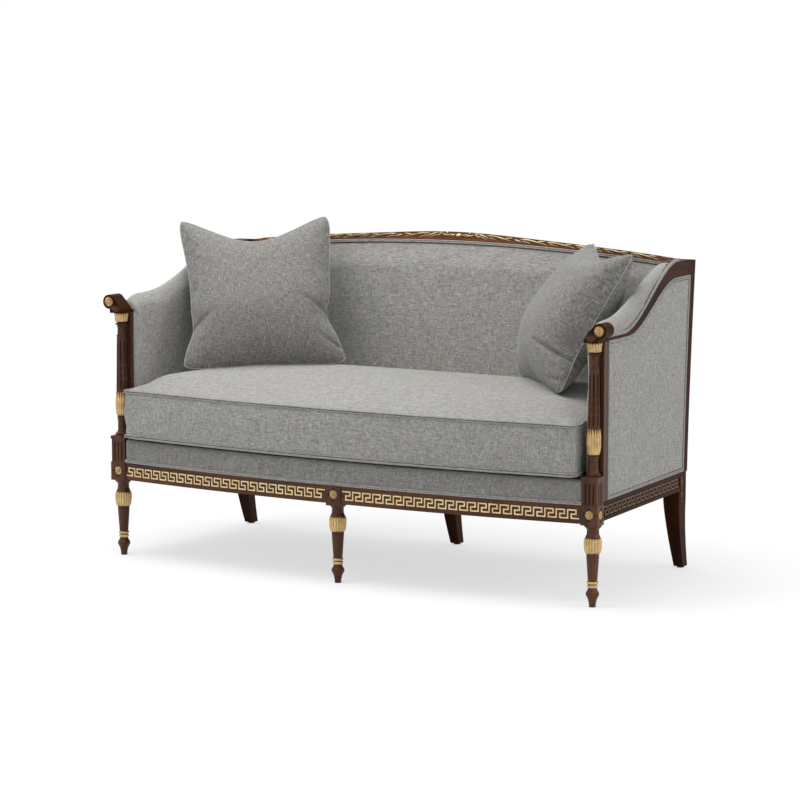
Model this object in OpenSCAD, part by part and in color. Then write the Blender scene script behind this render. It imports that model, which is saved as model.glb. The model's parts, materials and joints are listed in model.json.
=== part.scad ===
// Neoclassical loveseat: a show-wood frame on turned front legs and sabre rear legs, with gilt
// collars, rosettes and a key-pattern band, tight upholstered arms and back, a loose bench
// cushion and two throw pillows. Millimetres, +Z up, viewer in front at -Y.
// The origin is on the floor, in the middle of the whole piece.

/* [Overall] */
// Distance between the axes of the two front corner legs
leg_span = 1480; // [1200:10:1800]
// Distance from the front leg axes back to the middle of the rear feet
leg_depth = 615; // [560:1:680]
// How far each rear corner leg stands in from the front corner leg
rear_inset = 32; // [10:1:50]
// How far the front rail bows forward at its middle
bow = 50; // [25:1:70]
// Height of the rear posts at their back edge
post_top = 855; // [800:1:900]
// Extra height of the crest rail at its middle
crest_rise = 37; // [15:1:50]
// Height of the arm rail just behind the scroll
arm_h = 698; // [660:1:720]

/* [Seat frame] */
// Height of the underside of the front corner blocks above the floor
block_z = 216; // [190:1:240]
// Width of the front corner blocks
block_w = 49; // [44:1:56]
// Depth of the front corner blocks
block_d = 38; // [34:1:44]
// Height of the front corner blocks
block_h = 52; // [48:1:60]
// Height of the front and back seat rails
rail_h = 49; // [40:1:52]
// Thickness of the seat rails
rail_t = 30; // [24:1:36]
// Set-back of the front rail's face from the corner block's face
rail_setback = 3; // [1:0.5:5]
// Height of the side rails
side_rail_h = 51; // [44:1:60]
// Height of the side rails' top edge above the corner blocks' top
side_rail_up = 8; // [0:1:12]

/* [Arm posts] */
// Width of the arm posts and the arm rails
arm_w = 44; // [38:1:48]
// Depth of the flat arm stump behind the turned column
stump_d = 26; // [20:1:34]
// Height of the fluted square under the column
fluted_h = 65; // [50:1:80]
// Height of the square cap on it
cap_h = 9; // [6:1:12]
// Radius of the column at its foot
column_r = 16.5; // [14:0.5:18]
// Radius of the column at its head
column_head_r = 13.5; // [11:0.5:15]
// Radius of the flutes of the column
flute_r = 2.5; // [1.5:0.1:3]
// Height of the gilt vase collar on the column
vase_h = 69; // [50:1:85]
// Height of the gilt capital
capital_h = 26; // [18:1:32]
// Radius of the arm scroll's roll
scroll_r = 20; // [16:0.5:24]
// How far the middle of the roll lies outside the column's axis
scroll_out = 24.5; // [18:0.5:30]
// Length of the roll from front to back
scroll_l = 47; // [40:1:56]

/* [Front legs] */
// Radius of the gilt barrel collar
barrel_r = 24; // [20:0.5:28]
// Height of the gilt barrel collar
barrel_h = 43; // [34:1:50]
// Radius of the shaft under the barrel
shaft_r = 16.8; // [14:0.2:19]
// Radius of the shaft at the ankle
ankle_r = 12.6; // [11:0.2:14]
// Radius of the toupie foot
bulb_r = 17.8; // [15:0.2:20]
// Width of the middle leg's block
mid_block_w = 46; // [40:1:52]

/* [Rear legs and posts] */
// Width of the rear legs and posts
post_w = 48; // [40:1:54]
// Depth of the rear posts
post_d = 40; // [34:1:46]
// Depth of the rear legs at the seat frame
rear_leg_d = 44; // [38:1:50]
// Width and depth of the rear feet
rear_foot = 28; // [24:1:34]
// How far the rear foot's middle lies behind the post's back face
foot_kick = 16; // [8:1:26]
// How far the post's top rakes back
rake = 38; // [20:1:50]

/* [Upholstery] */
// Thickness of the padding on the inside of the arms
arm_pad_t = 17; // [12:1:24]
// Height of the arm padding's crown over the arm rail
arm_crown = 42; // [28:1:50]
// Thickness of the inside back padding at its edges
back_pad_t = 10; // [8:1:16]
// Extra thickness of the back padding in its middle
back_crown = 7; // [3:1:10]
// Height of the covered deck edge above the front rail
deck_h = 65; // [50:1:80]
// Diameter of one cord of the double welt
welt_d = 4.6; // [3.6:0.2:6]
// Thickness of the covered outside panels
panel_t = 6; // [4:0.5:8]

/* [Seat cushion] */
// Height of the seat cushion between its two welts
cushion_h = 126; // [100:1:150]
// Crown of the cushion over its upper welt
cushion_crown = 54; // [30:1:70]
// Overhang of the cushion in front of the rail's face
cushion_over = 14; // [6:1:20]
// Bulge of the cushion's sides between the welts
cushion_bulge = 7; // [3:1:10]
// Gap around the cushion
soft_gap = 0.5; // [0.3:0.1:1.5]

/* [Throw pillows] */
// Side of the throw pillows
pillow_w = 470; // [400:1:500]
// Thickness of the throw pillows
pillow_t = 156; // [110:1:170]

/* [Ornament] */
// Radius of the gilt rosettes
rosette_r = 14; // [10:0.5:16]
// Height of the key-pattern band
key_h = 25; // [18:0.5:30]
// Length of one unit of the key pattern
key_pitch = 31; // [26:0.5:40]
// Width of the key's line
key_line = 3.4; // [2.4:0.1:4]
// How far the gilding stands proud of the wood
gilt_t = 1.6; // [1:0.1:2.5]

/* [Fixings] */
// Height of the foot glides
glide_h = 4; // [3:0.5:6]
// Radius of the dowels
dowel_r = 5; // [4:0.5:6]
// Clearance of a dowel or screw in its bore
bore_fit = 0.1; // [0.05:0.05:0.3]
// Number of sinuous seat springs
spring_n = 9; // [6:1:12]
// Thickness of the spring wire
wire_t = 3.8; // [3:0.1:4.5]

/* [Hidden] */
$fn = 48;

// Colours
walnut = "#4b2f23";
gilt = "#c8a25c";
linen = "#a9a7a1";
black = "#1c1a19";
steel = "#8f9294";
beech = "#c9a779";
jute = "#9b8a6c";

// Small fits
gap = 0.3;
eps = 0.01;

// Plan of the frame, from the front leg axes at y = 0
fx = leg_span / 2;
rx = fx - rear_inset;
block_front = block_w / 2;
block_back = block_d - block_front;
arm_x = fx + arm_w / 2;
post_x = rx + post_w / 2;
post_y = leg_depth - foot_kick;
leg_step = 7;
leg_back = post_y - leg_step;
leg_front = leg_back - rear_leg_d;
side_angle = atan2(arm_x - post_x, leg_back - block_back);
side_len = (leg_front - block_back) / cos(side_angle);
block_top = block_z + block_h;
rail_top = block_top;
rail_z = rail_top - rail_h;
side_top = block_top + side_rail_up;
fluted_set = 2;
fluted_w = block_w - 2 * fluted_set;
cap_z = block_top + fluted_h;
cap_top = cap_z + cap_h;
column_top = arm_h - 8;

// Bow of the front rail, an arc through the corner blocks' inner edges
bow_half = fx - block_w / 2;
bow_face = block_front - rail_setback;
bow_R = (bow_half * bow_half + bow * bow) / (2 * bow);
bow_y0 = bow_R - bow_face - bow;
function bow_y(x, d = 0) = bow_y0 - sqrt(pow(bow_R + d, 2) - x * x);

// Back rake: y of the post's back face at height z
rake_power = 1.35;
function post_back(z) = post_y + rake * pow(max(0, (z - side_top) / (post_top - side_top)), rake_power);
rake_top = atan(rake * rake_power / (post_top - side_top));
post_top_front = post_top + post_d * sin(rake_top);

// Crest arch, in the raked frame at the posts' top
crest_half = rx - post_w / 2;
crest_R = (crest_half * crest_half + crest_rise * crest_rise) / (2 * crest_rise);
crest_wood = 14;
function crest_z(x, d = 0) = sqrt(pow(crest_R + d, 2) - x * x) - crest_R + crest_rise;

// S-curves of the arm, y from the stump's front face
sweep_start = 128;
sweep_rest = 72;
arm_len = post_back(post_top) - post_d - block_back;
sweep_len = arm_len - sweep_start - sweep_rest;
edge_front = 7;
edge_rear = 42;
rabbet_h = 14;
crown_lead = 52;
function smooth(t) = let (u = min(1, max(0, t))) u * u * (3 - 2 * u);
function arm_upper(y) = arm_h + (post_top_front - arm_h) * smooth((y - sweep_start) / sweep_len);
function arm_lower(y) = arm_h - edge_front
    + (post_top_front - edge_rear - arm_h + edge_front)
    * smooth((y - sweep_start - 30) / (sweep_len - 50));
function arm_pad_top(y) = arm_h + arm_crown
    + (post_top_front + 4 - arm_h - arm_crown)
    * smooth((y - sweep_start + crown_lead) / (sweep_len + crown_lead));

// Cushion levels
deck_top = rail_top + deck_h;
cushion_z = deck_top + soft_gap;
cushion_side_z = cushion_z + 14;
cushion_top_z = cushion_side_z + cushion_h;

// Depth of the whole piece, for the origin
y_front = -(bow_face + bow + cushion_over + cushion_bulge);
y_back = post_back(post_top) + crest_rise * sin(rake_top);
y_mid = (y_front + y_back) / 2;

// Puts a piece from the leg axes' frame into the frame with its origin in the middle
module placed() { translate([0, -y_mid, 0]) children(); }
module left() { placed() mirror([1, 0, 0]) children(); }
module right() { placed() children(); }
module both() { left() children(); right() children(); }

// Frame of the side: y runs back along the arm's outer face, x points out
module side_frame() { translate([arm_x, block_back, 0]) rotate([0, 0, side_angle]) children(); }
// Frame of the crest: raked back, origin at the post's back top edge
module crest_frame() { translate([0, post_back(post_top), post_top]) rotate([-rake_top, 0, 0]) children(); }
// Extrudes an outline of [y, z] points along x from x0 to x1
module along_x(x0, x1) {
    translate([x0, 0, 0]) rotate([90, 0, 90]) linear_extrude(x1 - x0) children();
}
// Extrudes an outline of [x, z] points along y from y0 back to y1
module along_y(y0, y1) {
    translate([0, y1, 0]) rotate([90, 0, 0]) linear_extrude(y1 - y0) children();
}
// A solid of revolution through [radius, height] points
module turned(points) {
    rotate_extrude() polygon(concat([[0, points[0][1]]], points, [[0, points[len(points) - 1][1]]]));
}

// Dowels of the seat rails, which also cut their own bores
module dowels_side(r, l) {
    for (z = [side_top - side_rail_h * 0.72, side_top - side_rail_h * 0.3], y = [0, side_len])
        side_frame() translate([-rail_t / 2, y - l / 2, z]) rotate([-90, 0, 0]) cylinder(r = r, h = l);
}
module dowels_front(r, l) {
    for (z = [rail_z + rail_h * 0.28, rail_z + rail_h * 0.7])
        translate([bow_half - l / 2, -bow_face + rail_t / 2, z]) rotate([0, 90, 0]) cylinder(r = r, h = l);
}
module dowels_back(r, l) {
    for (z = [rail_z + rail_h * 0.28, rail_z + rail_h * 0.7])
        translate([crest_half - l / 2, leg_back - rail_t / 2, z]) rotate([0, 90, 0]) cylinder(r = r, h = l);
}
dowel_l = 30;
module right_dowel_bores() {
    dowels_side(dowel_r + bore_fit, dowel_l + 2 * bore_fit);
    dowels_front(dowel_r + bore_fit, dowel_l + 2 * bore_fit);
    dowels_back(dowel_r + bore_fit, dowel_l + 2 * bore_fit);
}

// Turned front leg, from the glide to the underside of its block
barrel_top = block_z - 33;
barrel_z = barrel_top - barrel_h;
barrel_core = 14;
ring_z = [55, 65];
ring_core = 11.5;
module leg_turning(top) {
    turned([[9, glide_h], [9.2, glide_h + 4], [ankle_r - 0.8, 20], [bulb_r - 2.5, 27.5],
        [bulb_r - 0.4, 31.5], [bulb_r, 34], [bulb_r - 0.8, 38.5], [ankle_r + 1.6, 42.5],
        [ring_core, 49], [ring_core, 68], [ankle_r, 70.5], [shaft_r, barrel_z - 7],
        [shaft_r - 1, barrel_z - 6], [shaft_r, barrel_z - 5], [shaft_r, barrel_z],
        [barrel_core, barrel_z], [barrel_core, barrel_top], [19.6, barrel_top],
        [19, barrel_top + 3], [16.4, barrel_top + 8], [16, barrel_top + 21],
        [18.5, barrel_top + 25], [22.6, barrel_top + 28.5], [23, top]]);
}
lozenge_h = 19.8;
lozenge_w = 18.4;
recess = 2;
module lozenge() { polygon([[0, -lozenge_h], [lozenge_w, 0], [0, lozenge_h], [-lozenge_w, 0]]); }
rosette_z = block_z + block_h * 0.53;

module front_leg() {
    side_mid = (block_back - block_front) / 2;
    flute_step = 11.4;
    difference() {
        union() {
            translate([0, 0, 0]) leg_turning(block_z);
            translate([-block_w / 2, -block_front, block_z]) cube([block_w, block_d, block_h]);
            translate([-fluted_w / 2, -block_front + fluted_set, block_top])
                cube([fluted_w, block_d - fluted_set, fluted_h]);
            translate([-block_w / 2, -block_front, cap_z]) cube([block_w, block_d, cap_h]);
        }
        translate([0, 0, rosette_z]) along_y(-block_front - 1, -block_front + recess) lozenge();
        translate([0, side_mid, rosette_z]) along_x(block_w / 2 - recess, block_w / 2 + 1) lozenge();
        for (i = [-1:1]) {
            translate([i * flute_step, -block_front + fluted_set, block_top + 3])
                cylinder(r = flute_r, h = fluted_h - 10);
            translate([fluted_w / 2, side_mid + i * flute_step * 0.8, block_top + 3])
                cylinder(r = flute_r, h = fluted_h - 10);
        }
    }
}
module cut_front_leg() {
    difference() {
        translate([fx, 0, 0]) front_leg();
        right_dowel_bores();
        corner_screws(bore_fit);
    }
}
module front_leg_left() { color(walnut) left() cut_front_leg(); }
module front_leg_right() { color(walnut) right() cut_front_leg(); }

// The middle leg laps into the front of the bowed rail and carries it on its abacus
mid_y = -bow;
lap_d = 17;
module front_leg_centre() {
    color(walnut) placed() difference() {
        union() {
            translate([0, mid_y, 0]) leg_turning(block_z - 3);
            translate([-mid_block_w / 2, mid_y - block_front, block_z - 3])
                cube([mid_block_w, 2 * block_front, rail_z - block_z + 3]);
            translate([-mid_block_w / 2, mid_y - block_front, rail_z - eps])
                cube([mid_block_w, lap_d + rail_setback, block_top - rail_z + eps]);
        }
        translate([0, 0, rosette_z])
            along_y(mid_y - block_front - 1, mid_y - block_front + recess) lozenge();
    }
}

// Side view of a sabre leg and its post, as [y, z] points
sabre_top = rail_z - 24;
sabre_n = 8;
function sabre_mid(z) = leg_front + rear_leg_d / 2
    + (leg_depth - leg_front - rear_leg_d / 2) * pow((sabre_top - z) / (sabre_top - glide_h), 1.5);
function sabre_d(z) = rear_foot + (rear_leg_d - rear_foot) * (z - glide_h) / (sabre_top - glide_h);
function sabre_z(i) = glide_h + (sabre_top - glide_h) * i / sabre_n;
function sabre_front() = [for (i = [0:sabre_n]) let (z = sabre_z(i)) [sabre_mid(z) - sabre_d(z) / 2, z]];
function sabre_back() = [for (i = [sabre_n:-1:0]) let (z = sabre_z(i)) [sabre_mid(z) + sabre_d(z) / 2, z]];
post_n = 8;
function post_z(i) = side_top + (post_top - side_top) * i / post_n;
function post_back_points() = [for (i = [post_n:-1:0]) [post_back(post_z(i)), post_z(i)]];
function post_front_points() = [for (i = [0:post_n]) let (z = post_z(i))
    [post_back(z) - post_d, z + (i == post_n ? post_top_front - post_top : 0)]];
// Front view of a leg that tapers in width to its foot
module leg_front_view(top) {
    polygon([[-rear_foot / 2, glide_h], [rear_foot / 2, glide_h], [post_w / 2, sabre_top],
        [post_w / 2, top], [-post_w / 2, top], [-post_w / 2, sabre_top]]);
}
rabbet_w = 13;
module rear_leg() {
    bead = 7;
    difference() {
        intersection() {
            along_x(rx - post_w / 2 - 1, rx + post_w / 2 + 1)
                polygon(concat(sabre_front(), [[leg_front, side_top]], post_front_points(),
                    post_back_points(), [[leg_back, side_top - 2]], sabre_back()));
            translate([rx, 0, 0]) along_y(leg_front - 40, leg_depth + 80) leg_front_view(post_top_front + 20);
        }
        along_x(post_x - panel_t - gap - rake * tan(side_angle), post_x + 1) polygon(concat(
            [for (i = [0:post_n - 1]) [post_back(post_z(i)) - post_d - 5, post_z(i) + (i == 0 ? gap : 0)]],
            [[post_back(arm_lower(arm_len)) - post_d - 5, arm_lower(arm_len)],
             [post_back(arm_lower(arm_len)) - post_d + rabbet_w, arm_lower(arm_len)]],
            [for (i = [post_n - 1:-1:0])
                [post_back(post_z(i)) - post_d + rabbet_w, post_z(i) + (i == 0 ? gap : 0)]]));
        for (s = [-1, 1]) translate([rx + s * (post_w / 2 - bead), leg_front, sabre_top + 3])
            cylinder(r = 1, h = rail_z - sabre_top + 10);
        right_dowel_bores();
        corner_screws(bore_fit);
    }
}
module rear_leg_left() { color(walnut) left() rear_leg(); }
module rear_leg_right() { color(walnut) right() rear_leg(); }
module rear_leg_centre() {
    color(walnut) placed() intersection() {
        along_x(-post_w, post_w) polygon(concat(sabre_front(), [[leg_front, rail_z]],
            [[leg_back, rail_z]], sabre_back()));
        along_y(leg_front - 40, leg_depth + 80) leg_front_view(rail_z + 20);
    }
}

// Turned and fluted column between the cap and the scroll
vase_z = cap_top + 54;
vase_top = vase_z + vase_h;
capital_z = column_top - capital_h;
ring_top = column_top - 66;
core_r = 11;
module arm_column() {
    flute_z = vase_top + 9;
    flute_top = ring_top - 15;
    taper = atan((column_r - column_head_r) / (ring_top - vase_top));
    difference() {
        turned([[block_w / 2 - 1, cap_top], [block_w / 2 - 1, cap_top + 2], [17.5, cap_top + 3],
            [19.5, cap_top + 5], [19.2, cap_top + 8], [15, cap_top + 10.5], [13.4, cap_top + 16],
            [12.8, vase_z - 14], [14.2, vase_z - 11], [13, vase_z - 8], [14.6, vase_z - 5],
            [14.6, vase_z], [core_r, vase_z], [core_r, vase_top], [column_r, vase_top],
            [column_head_r, ring_top], [column_head_r + 1.2, ring_top + 1],
            [column_head_r + 1.2, ring_top + 3], [11.6, ring_top + 4], [11.2, capital_z - 15],
            [13.2, capital_z - 13], [12.2, capital_z - 10], [17.2, capital_z - 6],
            [17.2, capital_z - 4], [core_r, capital_z - 2], [core_r, column_top]]);
        for (i = [0:7]) rotate([0, 0, 22.5 + i * 45]) translate([column_r + 0.5, 0, flute_z])
            rotate([0, -taper, 0]) cylinder(r = flute_r, h = flute_top - flute_z);
    }
}
module arm_column_left() { color(walnut) left() translate([fx, 0, 0]) arm_column(); }
module arm_column_right() { color(walnut) right() translate([fx, 0, 0]) arm_column(); }

// Flat stump behind the column, which stands on the side rail
stump_back = block_back + stump_d;
column_gap = 0.5;
module arm_stump() {
    difference() {
        translate([fx - arm_w / 2, block_back, side_top]) cube([arm_w, stump_d, column_top - side_top]);
        translate([fx, 0, vase_z - 1]) cylinder(r = 19.6 + column_gap, h = vase_h + 2);
        translate([fx, 0, capital_z - 8]) cylinder(r = 20.4 + column_gap, h = capital_h + 9);
        translate([fx, 0, cap_top - 1]) cylinder(r = block_w / 2 - 1 + column_gap, h = 12);
        translate([fx, 0, cap_top]) cylinder(r = column_r + column_gap, h = column_top - cap_top);
    }
}
module arm_stump_left() { color(walnut) left() arm_stump(); }
module arm_stump_right() { color(walnut) right() arm_stump(); }

// Scroll: a neck that sweeps up from the capital into a roll along y
scroll_z = column_top + 31;
module arm_scroll() {
    along_y(-block_front, -block_front + scroll_l) union() {
        polygon([[fx - 20.5, column_top], [fx - 20, column_top + 5], [fx - 17, column_top + 12],
            [fx - 11, column_top + 21], [fx - 3, column_top + 31], [fx + 5, column_top + 39],
            [fx + scroll_out - 11, scroll_z + scroll_r - 3.2], [fx + scroll_out, scroll_z + scroll_r],
            [fx + scroll_out + 4, scroll_z], [fx + arm_w / 2, column_top + 12],
            [fx + arm_w / 2, column_top]]);
        translate([fx + scroll_out, scroll_z]) circle(r = scroll_r);
    }
    translate([fx - arm_w / 2, -block_front + scroll_l - eps, column_top])
        cube([arm_w, stump_back + block_front - scroll_l, arm_h - column_top]);
}
module arm_scroll_left() { color(walnut) left() arm_scroll(); }
module arm_scroll_right() { color(walnut) right() arm_scroll(); }

// Arm rail: the S-shaped show wood, with a rabbet under it for the outside panel
arm_n = 20;
arm_y0 = stump_d;
function arm_end(z) = (post_back(z) - post_d - block_back - gap) / cos(side_angle);
function arm_y(i, z) = arm_y0 + (arm_end(z) - arm_y0) * i / arm_n;
function arm_edge_top() = [for (i = [0:arm_n]) let (y = arm_y(i, post_top)) [y, arm_upper(y)]];
function arm_edge_low(d) = [for (i = [arm_n:-1:0]) let (y = arm_y(i, post_top - edge_rear - rabbet_h)) [y, arm_lower(y) - d]];
module behind_stump(d = 0) {
    intersection() {
        children();
        translate([0, stump_back + d, 0]) cube([fx + 200, 2 * leg_depth, 2 * post_top]);
    }
}
module arm_rail() {
    behind_stump() side_frame() {
        along_x(-arm_w, 0) polygon(concat(arm_edge_top(), arm_edge_low(0)));
        along_x(-arm_w, -panel_t - gap)
            polygon(concat([for (p = arm_edge_top()) [p[0], p[1] - 3]], arm_edge_low(rabbet_h)));
    }
}
module arm_rail_left() { color(walnut) left() arm_rail(); }
module arm_rail_right() { color(walnut) right() arm_rail(); }

// Bowed pieces are swept about the bow's centre and cut square at their ends
bow_half_angle = asin(bow_half / bow_R) + 0.6;
module bowed(half, y_cut = 0) {
    intersection() {
        translate([0, bow_y0, 0]) rotate([0, 0, 270 - bow_half_angle])
            rotate_extrude(angle = 2 * bow_half_angle, $fn = 720) children();
        translate([-half, -bow_face - bow - 60, 0]) cube([2 * half, bow + 160, 900]);
    }
}
module front_seat_rail() {
    color(walnut) placed() difference() {
        bowed(bow_half) translate([bow_R - rail_t, rail_z]) square([rail_t, rail_h]);
        translate([-mid_block_w / 2 - bore_fit, mid_y - block_front - 10, rail_z - 1])
            cube([mid_block_w + 2 * bore_fit, 10 + lap_d + rail_setback + bore_fit, rail_h + 2]);
        right_dowel_bores();
        mirror([1, 0, 0]) right_dowel_bores();
    }
}
module side_seat_rail() {
    difference() {
        intersection() {
            side_frame() translate([-rail_t, -20, side_top - side_rail_h])
                cube([rail_t, side_len + 40, side_rail_h]);
            translate([0, block_back, 0]) cube([fx + 100, leg_front - block_back, side_top]);
        }
        side_frame() translate([-recess, 1.5, side_band_z]) cube([recess + 1, side_len - 4, side_band_h]);
        right_dowel_bores();
    }
}
module side_seat_rail_left() { color(walnut) left() side_seat_rail(); }
module side_seat_rail_right() { color(walnut) right() side_seat_rail(); }
module back_seat_rail() {
    color(walnut) placed() difference() {
        translate([-crest_half, leg_back - rail_t, rail_z]) cube([2 * crest_half, rail_t, rail_h]);
        right_dowel_bores();
        mirror([1, 0, 0]) right_dowel_bores();
    }
}

// Crest rail with its arched top edge
crest_n = 24;
function crest_points(half, d) = [for (i = [0:crest_n]) let (x = -half + 2 * half * i / crest_n)
    [x, crest_z(x, d)]];
module crest_rail() {
    color(walnut) placed() crest_frame() along_y(-post_d, 0) polygon(concat(
        crest_points(crest_half, 0), reversed(crest_points(crest_half, -crest_h))));
}

// Inner frame of beech
tack_h = 36;
tack_t = 22;
module lower_arm_rails() {
    color(beech) both() intersection() {
        side_frame() translate([-arm_w, 0, deck_top]) cube([tack_t, side_len, tack_h]);
        translate([0, stump_back + gap, 0])
            cube([fx + 200, post_back(deck_top) - post_d - stump_back - 2 * gap, 2 * post_top]);
    }
}
upright_w = 42;
upright_x = crest_half / 3;
back_n = 8;
back_bottom = rail_top + gap;
function back_z(i, top) = back_bottom + (top - back_bottom) * i / back_n;
// A strip that follows the rake, from depth a to depth b behind the posts' back face
module back_strip(x0, x1, a, b, top) {
    along_x(x0, x1) polygon(concat(
        [for (i = [0:back_n]) let (z = back_z(i, top)) [post_back(z) - a, z]],
        [for (i = [back_n:-1:0]) let (z = back_z(i, top)) [post_back(z) - b, z]]));
}
web_t = 2;
module back_uprights() {
    color(beech) placed() intersection() {
        union() for (s = [-1, 1])
            back_strip(s * upright_x - upright_w / 2, s * upright_x + upright_w / 2,
                panel_t + 2 + gap, post_d - 2 * web_t - gap, post_top + 40);
        under_crest(0);
    }
}
stretcher_h = 38;
module seat_stretchers() {
    front = bow_y(upright_x + 30) + rail_t + gap;
    color(beech) placed() for (s = [-1, 1])
        translate([s * upright_x - tack_t / 2, front + 2, rail_z])
            cube([tack_t, leg_back - rail_t - gap - front - 2, stretcher_h]);
}
corner_leg = 70;
corner_h = 36;
function side_inner(y) = arm_x - rail_t / cos(side_angle) - (y - block_back) * tan(side_angle) - gap;
module corner_block_front() {
    y1 = block_back + corner_leg;
    x1 = side_inner(y1);
    x2 = x1 - corner_leg;
    translate([0, 0, rail_z + 6]) linear_extrude(corner_h) polygon([
        [bow_half - gap, bow_y(bow_half) + rail_t + 1], [bow_half - gap, block_back + gap],
        [x1, block_back + gap], [x1, y1], [x2, bow_y(x2) + rail_t + 1]]);
}
module corner_block_rear() {
    y1 = leg_back - rail_t - gap;
    x1 = side_inner(leg_front);
    translate([0, 0, rail_z + 6]) linear_extrude(corner_h) polygon([
        [crest_half - gap, y1], [crest_half - gap, leg_front - gap], [x1, leg_front - gap],
        [x1, leg_front - corner_leg], [crest_half - corner_leg, y1]]);
}

// One screw at each corner, driven along the diagonal through the block into the leg
screw_r = 2.6;
screw_head_r = 5.2;
screw_l = 52;
screw_z = rail_z + 6 + corner_h / 2;
module screw(fit) {
    rotate([0, 90, 0]) cylinder(r = screw_r + fit, h = screw_l + fit);
    translate([-3, 0, 0]) rotate([0, 90, 0]) cylinder(r = screw_head_r + fit, h = 3 + eps);
}
module corner_screws(fit = 0) {
    translate([bow_half - 28, block_back + 28, screw_z]) rotate([0, 0, -45]) screw(fit);
    translate([crest_half - 28, leg_front - 28, screw_z]) rotate([0, 0, 45]) screw(fit);
}
module corner_blocks() {
    color(beech) both() difference() {
        union() { corner_block_front(); corner_block_rear(); }
        corner_screws(bore_fit);
        translate([bow_half - 28, block_back + 28, screw_z]) rotate([0, 0, -45])
            translate([-43, 0, 0]) rotate([0, 90, 0]) cylinder(r = screw_head_r + bore_fit, h = 40);
        translate([crest_half - 28, leg_front - 28, screw_z]) rotate([0, 0, 45])
            translate([-43, 0, 0]) rotate([0, 90, 0]) cylinder(r = screw_head_r + bore_fit, h = 40);
    }
}
module corner_block_screws() { color(steel) both() corner_screws(); }
module rail_dowels() {
    color(beech) both() {
        dowels_side(dowel_r, dowel_l);
        dowels_front(dowel_r, dowel_l);
        dowels_back(dowel_r, dowel_l);
    }
}
glide_r = 9;
module foot_glides() {
    color(black) placed() {
        for (s = [-1, 1]) {
            translate([s * fx, 0, 0]) cylinder(r = glide_r, h = glide_h);
            translate([s * rx, leg_depth, 0]) cylinder(r = glide_r + 1, h = glide_h);
        }
        translate([0, mid_y, 0]) cylinder(r = glide_r, h = glide_h);
        translate([0, leg_depth, 0]) cylinder(r = glide_r + 1, h = glide_h);
    }
}

// Gilt turnings, sleeved over the legs and columns
module sleeve(points, bore) {
    difference() {
        turned(points);
        translate([0, 0, points[0][1] - 1])
            cylinder(r = bore, h = points[len(points) - 1][1] - points[0][1] + 2);
    }
}
module at_front_legs() {
    placed() {
        for (s = [-1, 1]) translate([s * fx, 0, 0]) children();
        translate([0, mid_y, 0]) children();
    }
}
module leg_collars() {
    color(gilt) at_front_legs() difference() {
        sleeve([[18.2, barrel_z + 0.1], [barrel_r - 4.4, barrel_z + 9], [barrel_r - 1.6, barrel_z + 20],
            [barrel_r, barrel_z + 30], [barrel_r, barrel_z + 35], [barrel_r - 1, barrel_z + 39],
            [barrel_r - 3, barrel_top - 0.1]], barrel_core + bore_fit);
        for (i = [0:19]) rotate([0, 0, i * 18]) translate([barrel_r + 0.6, 0, barrel_z - 1])
            cylinder(r = 1.6, h = barrel_h + 2);
    }
}
module ankle_rings() {
    color(gilt) at_front_legs() {
        sleeve([[12.6, 51], [14, 53.2], [14.2, 55], [13.8, 57.2], [12.4, 58.6]], ring_core + bore_fit);
        sleeve([[12.8, 60.7], [15, 63], [15.4, 65.2], [14.6, 66.9], [12.8, 67.9]], ring_core + bore_fit);
    }
}
module column_collars() {
    color(gilt) placed() for (s = [-1, 1]) translate([s * fx, 0, 0])
        sleeve([[15.4, vase_z + 0.1], [17, vase_z + 7], [18.5, vase_z + 16], [19.4, vase_z + 29],
            [19.6, vase_z + 37], [19.2, vase_z + 52], [18.6, vase_z + 62], [18.9, vase_top - 0.1]],
            core_r + bore_fit);
}
module column_capitals() {
    color(gilt) placed() for (s = [-1, 1]) translate([s * fx, 0, 0]) difference() {
        sleeve([[18.2, capital_z + 0.1], [18.4, capital_z + 5], [19.4, capital_z + 15],
            [20.3, column_top - 0.1]], core_r + bore_fit);
        for (i = [0:19]) rotate([0, 0, i * 18]) translate([21, 0, capital_z - 1])
            cylinder(r = 1.4, h = capital_h + 2);
    }
}

// Rosette: a disc with a ring of petals and a boss, facing +z
petals = 12;
module rosette(r, t) {
    cylinder(r = r * 0.8, h = t * 0.6);
    for (i = [0:petals - 1]) rotate([0, 0, i * 360 / petals]) translate([r * 0.8, 0, 0])
        cylinder(r = r * 0.2, h = t * 0.75);
    translate([0, 0, t * 0.6 - eps]) cylinder(r1 = r * 0.5, r2 = r * 0.3, h = t * 0.4);
    translate([0, 0, t - eps]) cylinder(r1 = r * 0.22, r2 = r * 0.1, h = t * 0.3);
}
block_rosette_r = rosette_r * 0.8;
rosette_t = recess + gilt_t;
module block_rosettes() {
    side_mid = (block_back - block_front) / 2;
    color(gilt) {
        both() {
            translate([fx, -block_front + recess, rosette_z]) rotate([90, 0, 0])
                rosette(block_rosette_r, rosette_t);
            translate([fx + block_w / 2 - recess, side_mid, rosette_z]) rotate([0, 90, 0])
                rosette(block_rosette_r, rosette_t);
        }
        placed() translate([0, mid_y - block_front + recess, rosette_z]) rotate([90, 0, 0])
            rosette(block_rosette_r, rosette_t);
    }
}
module scroll_rosettes() {
    color(gilt) both() translate([fx + scroll_out, -block_front, scroll_z]) rotate([90, 0, 0])
        rosette(rosette_r + 1, 3);
}

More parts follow.
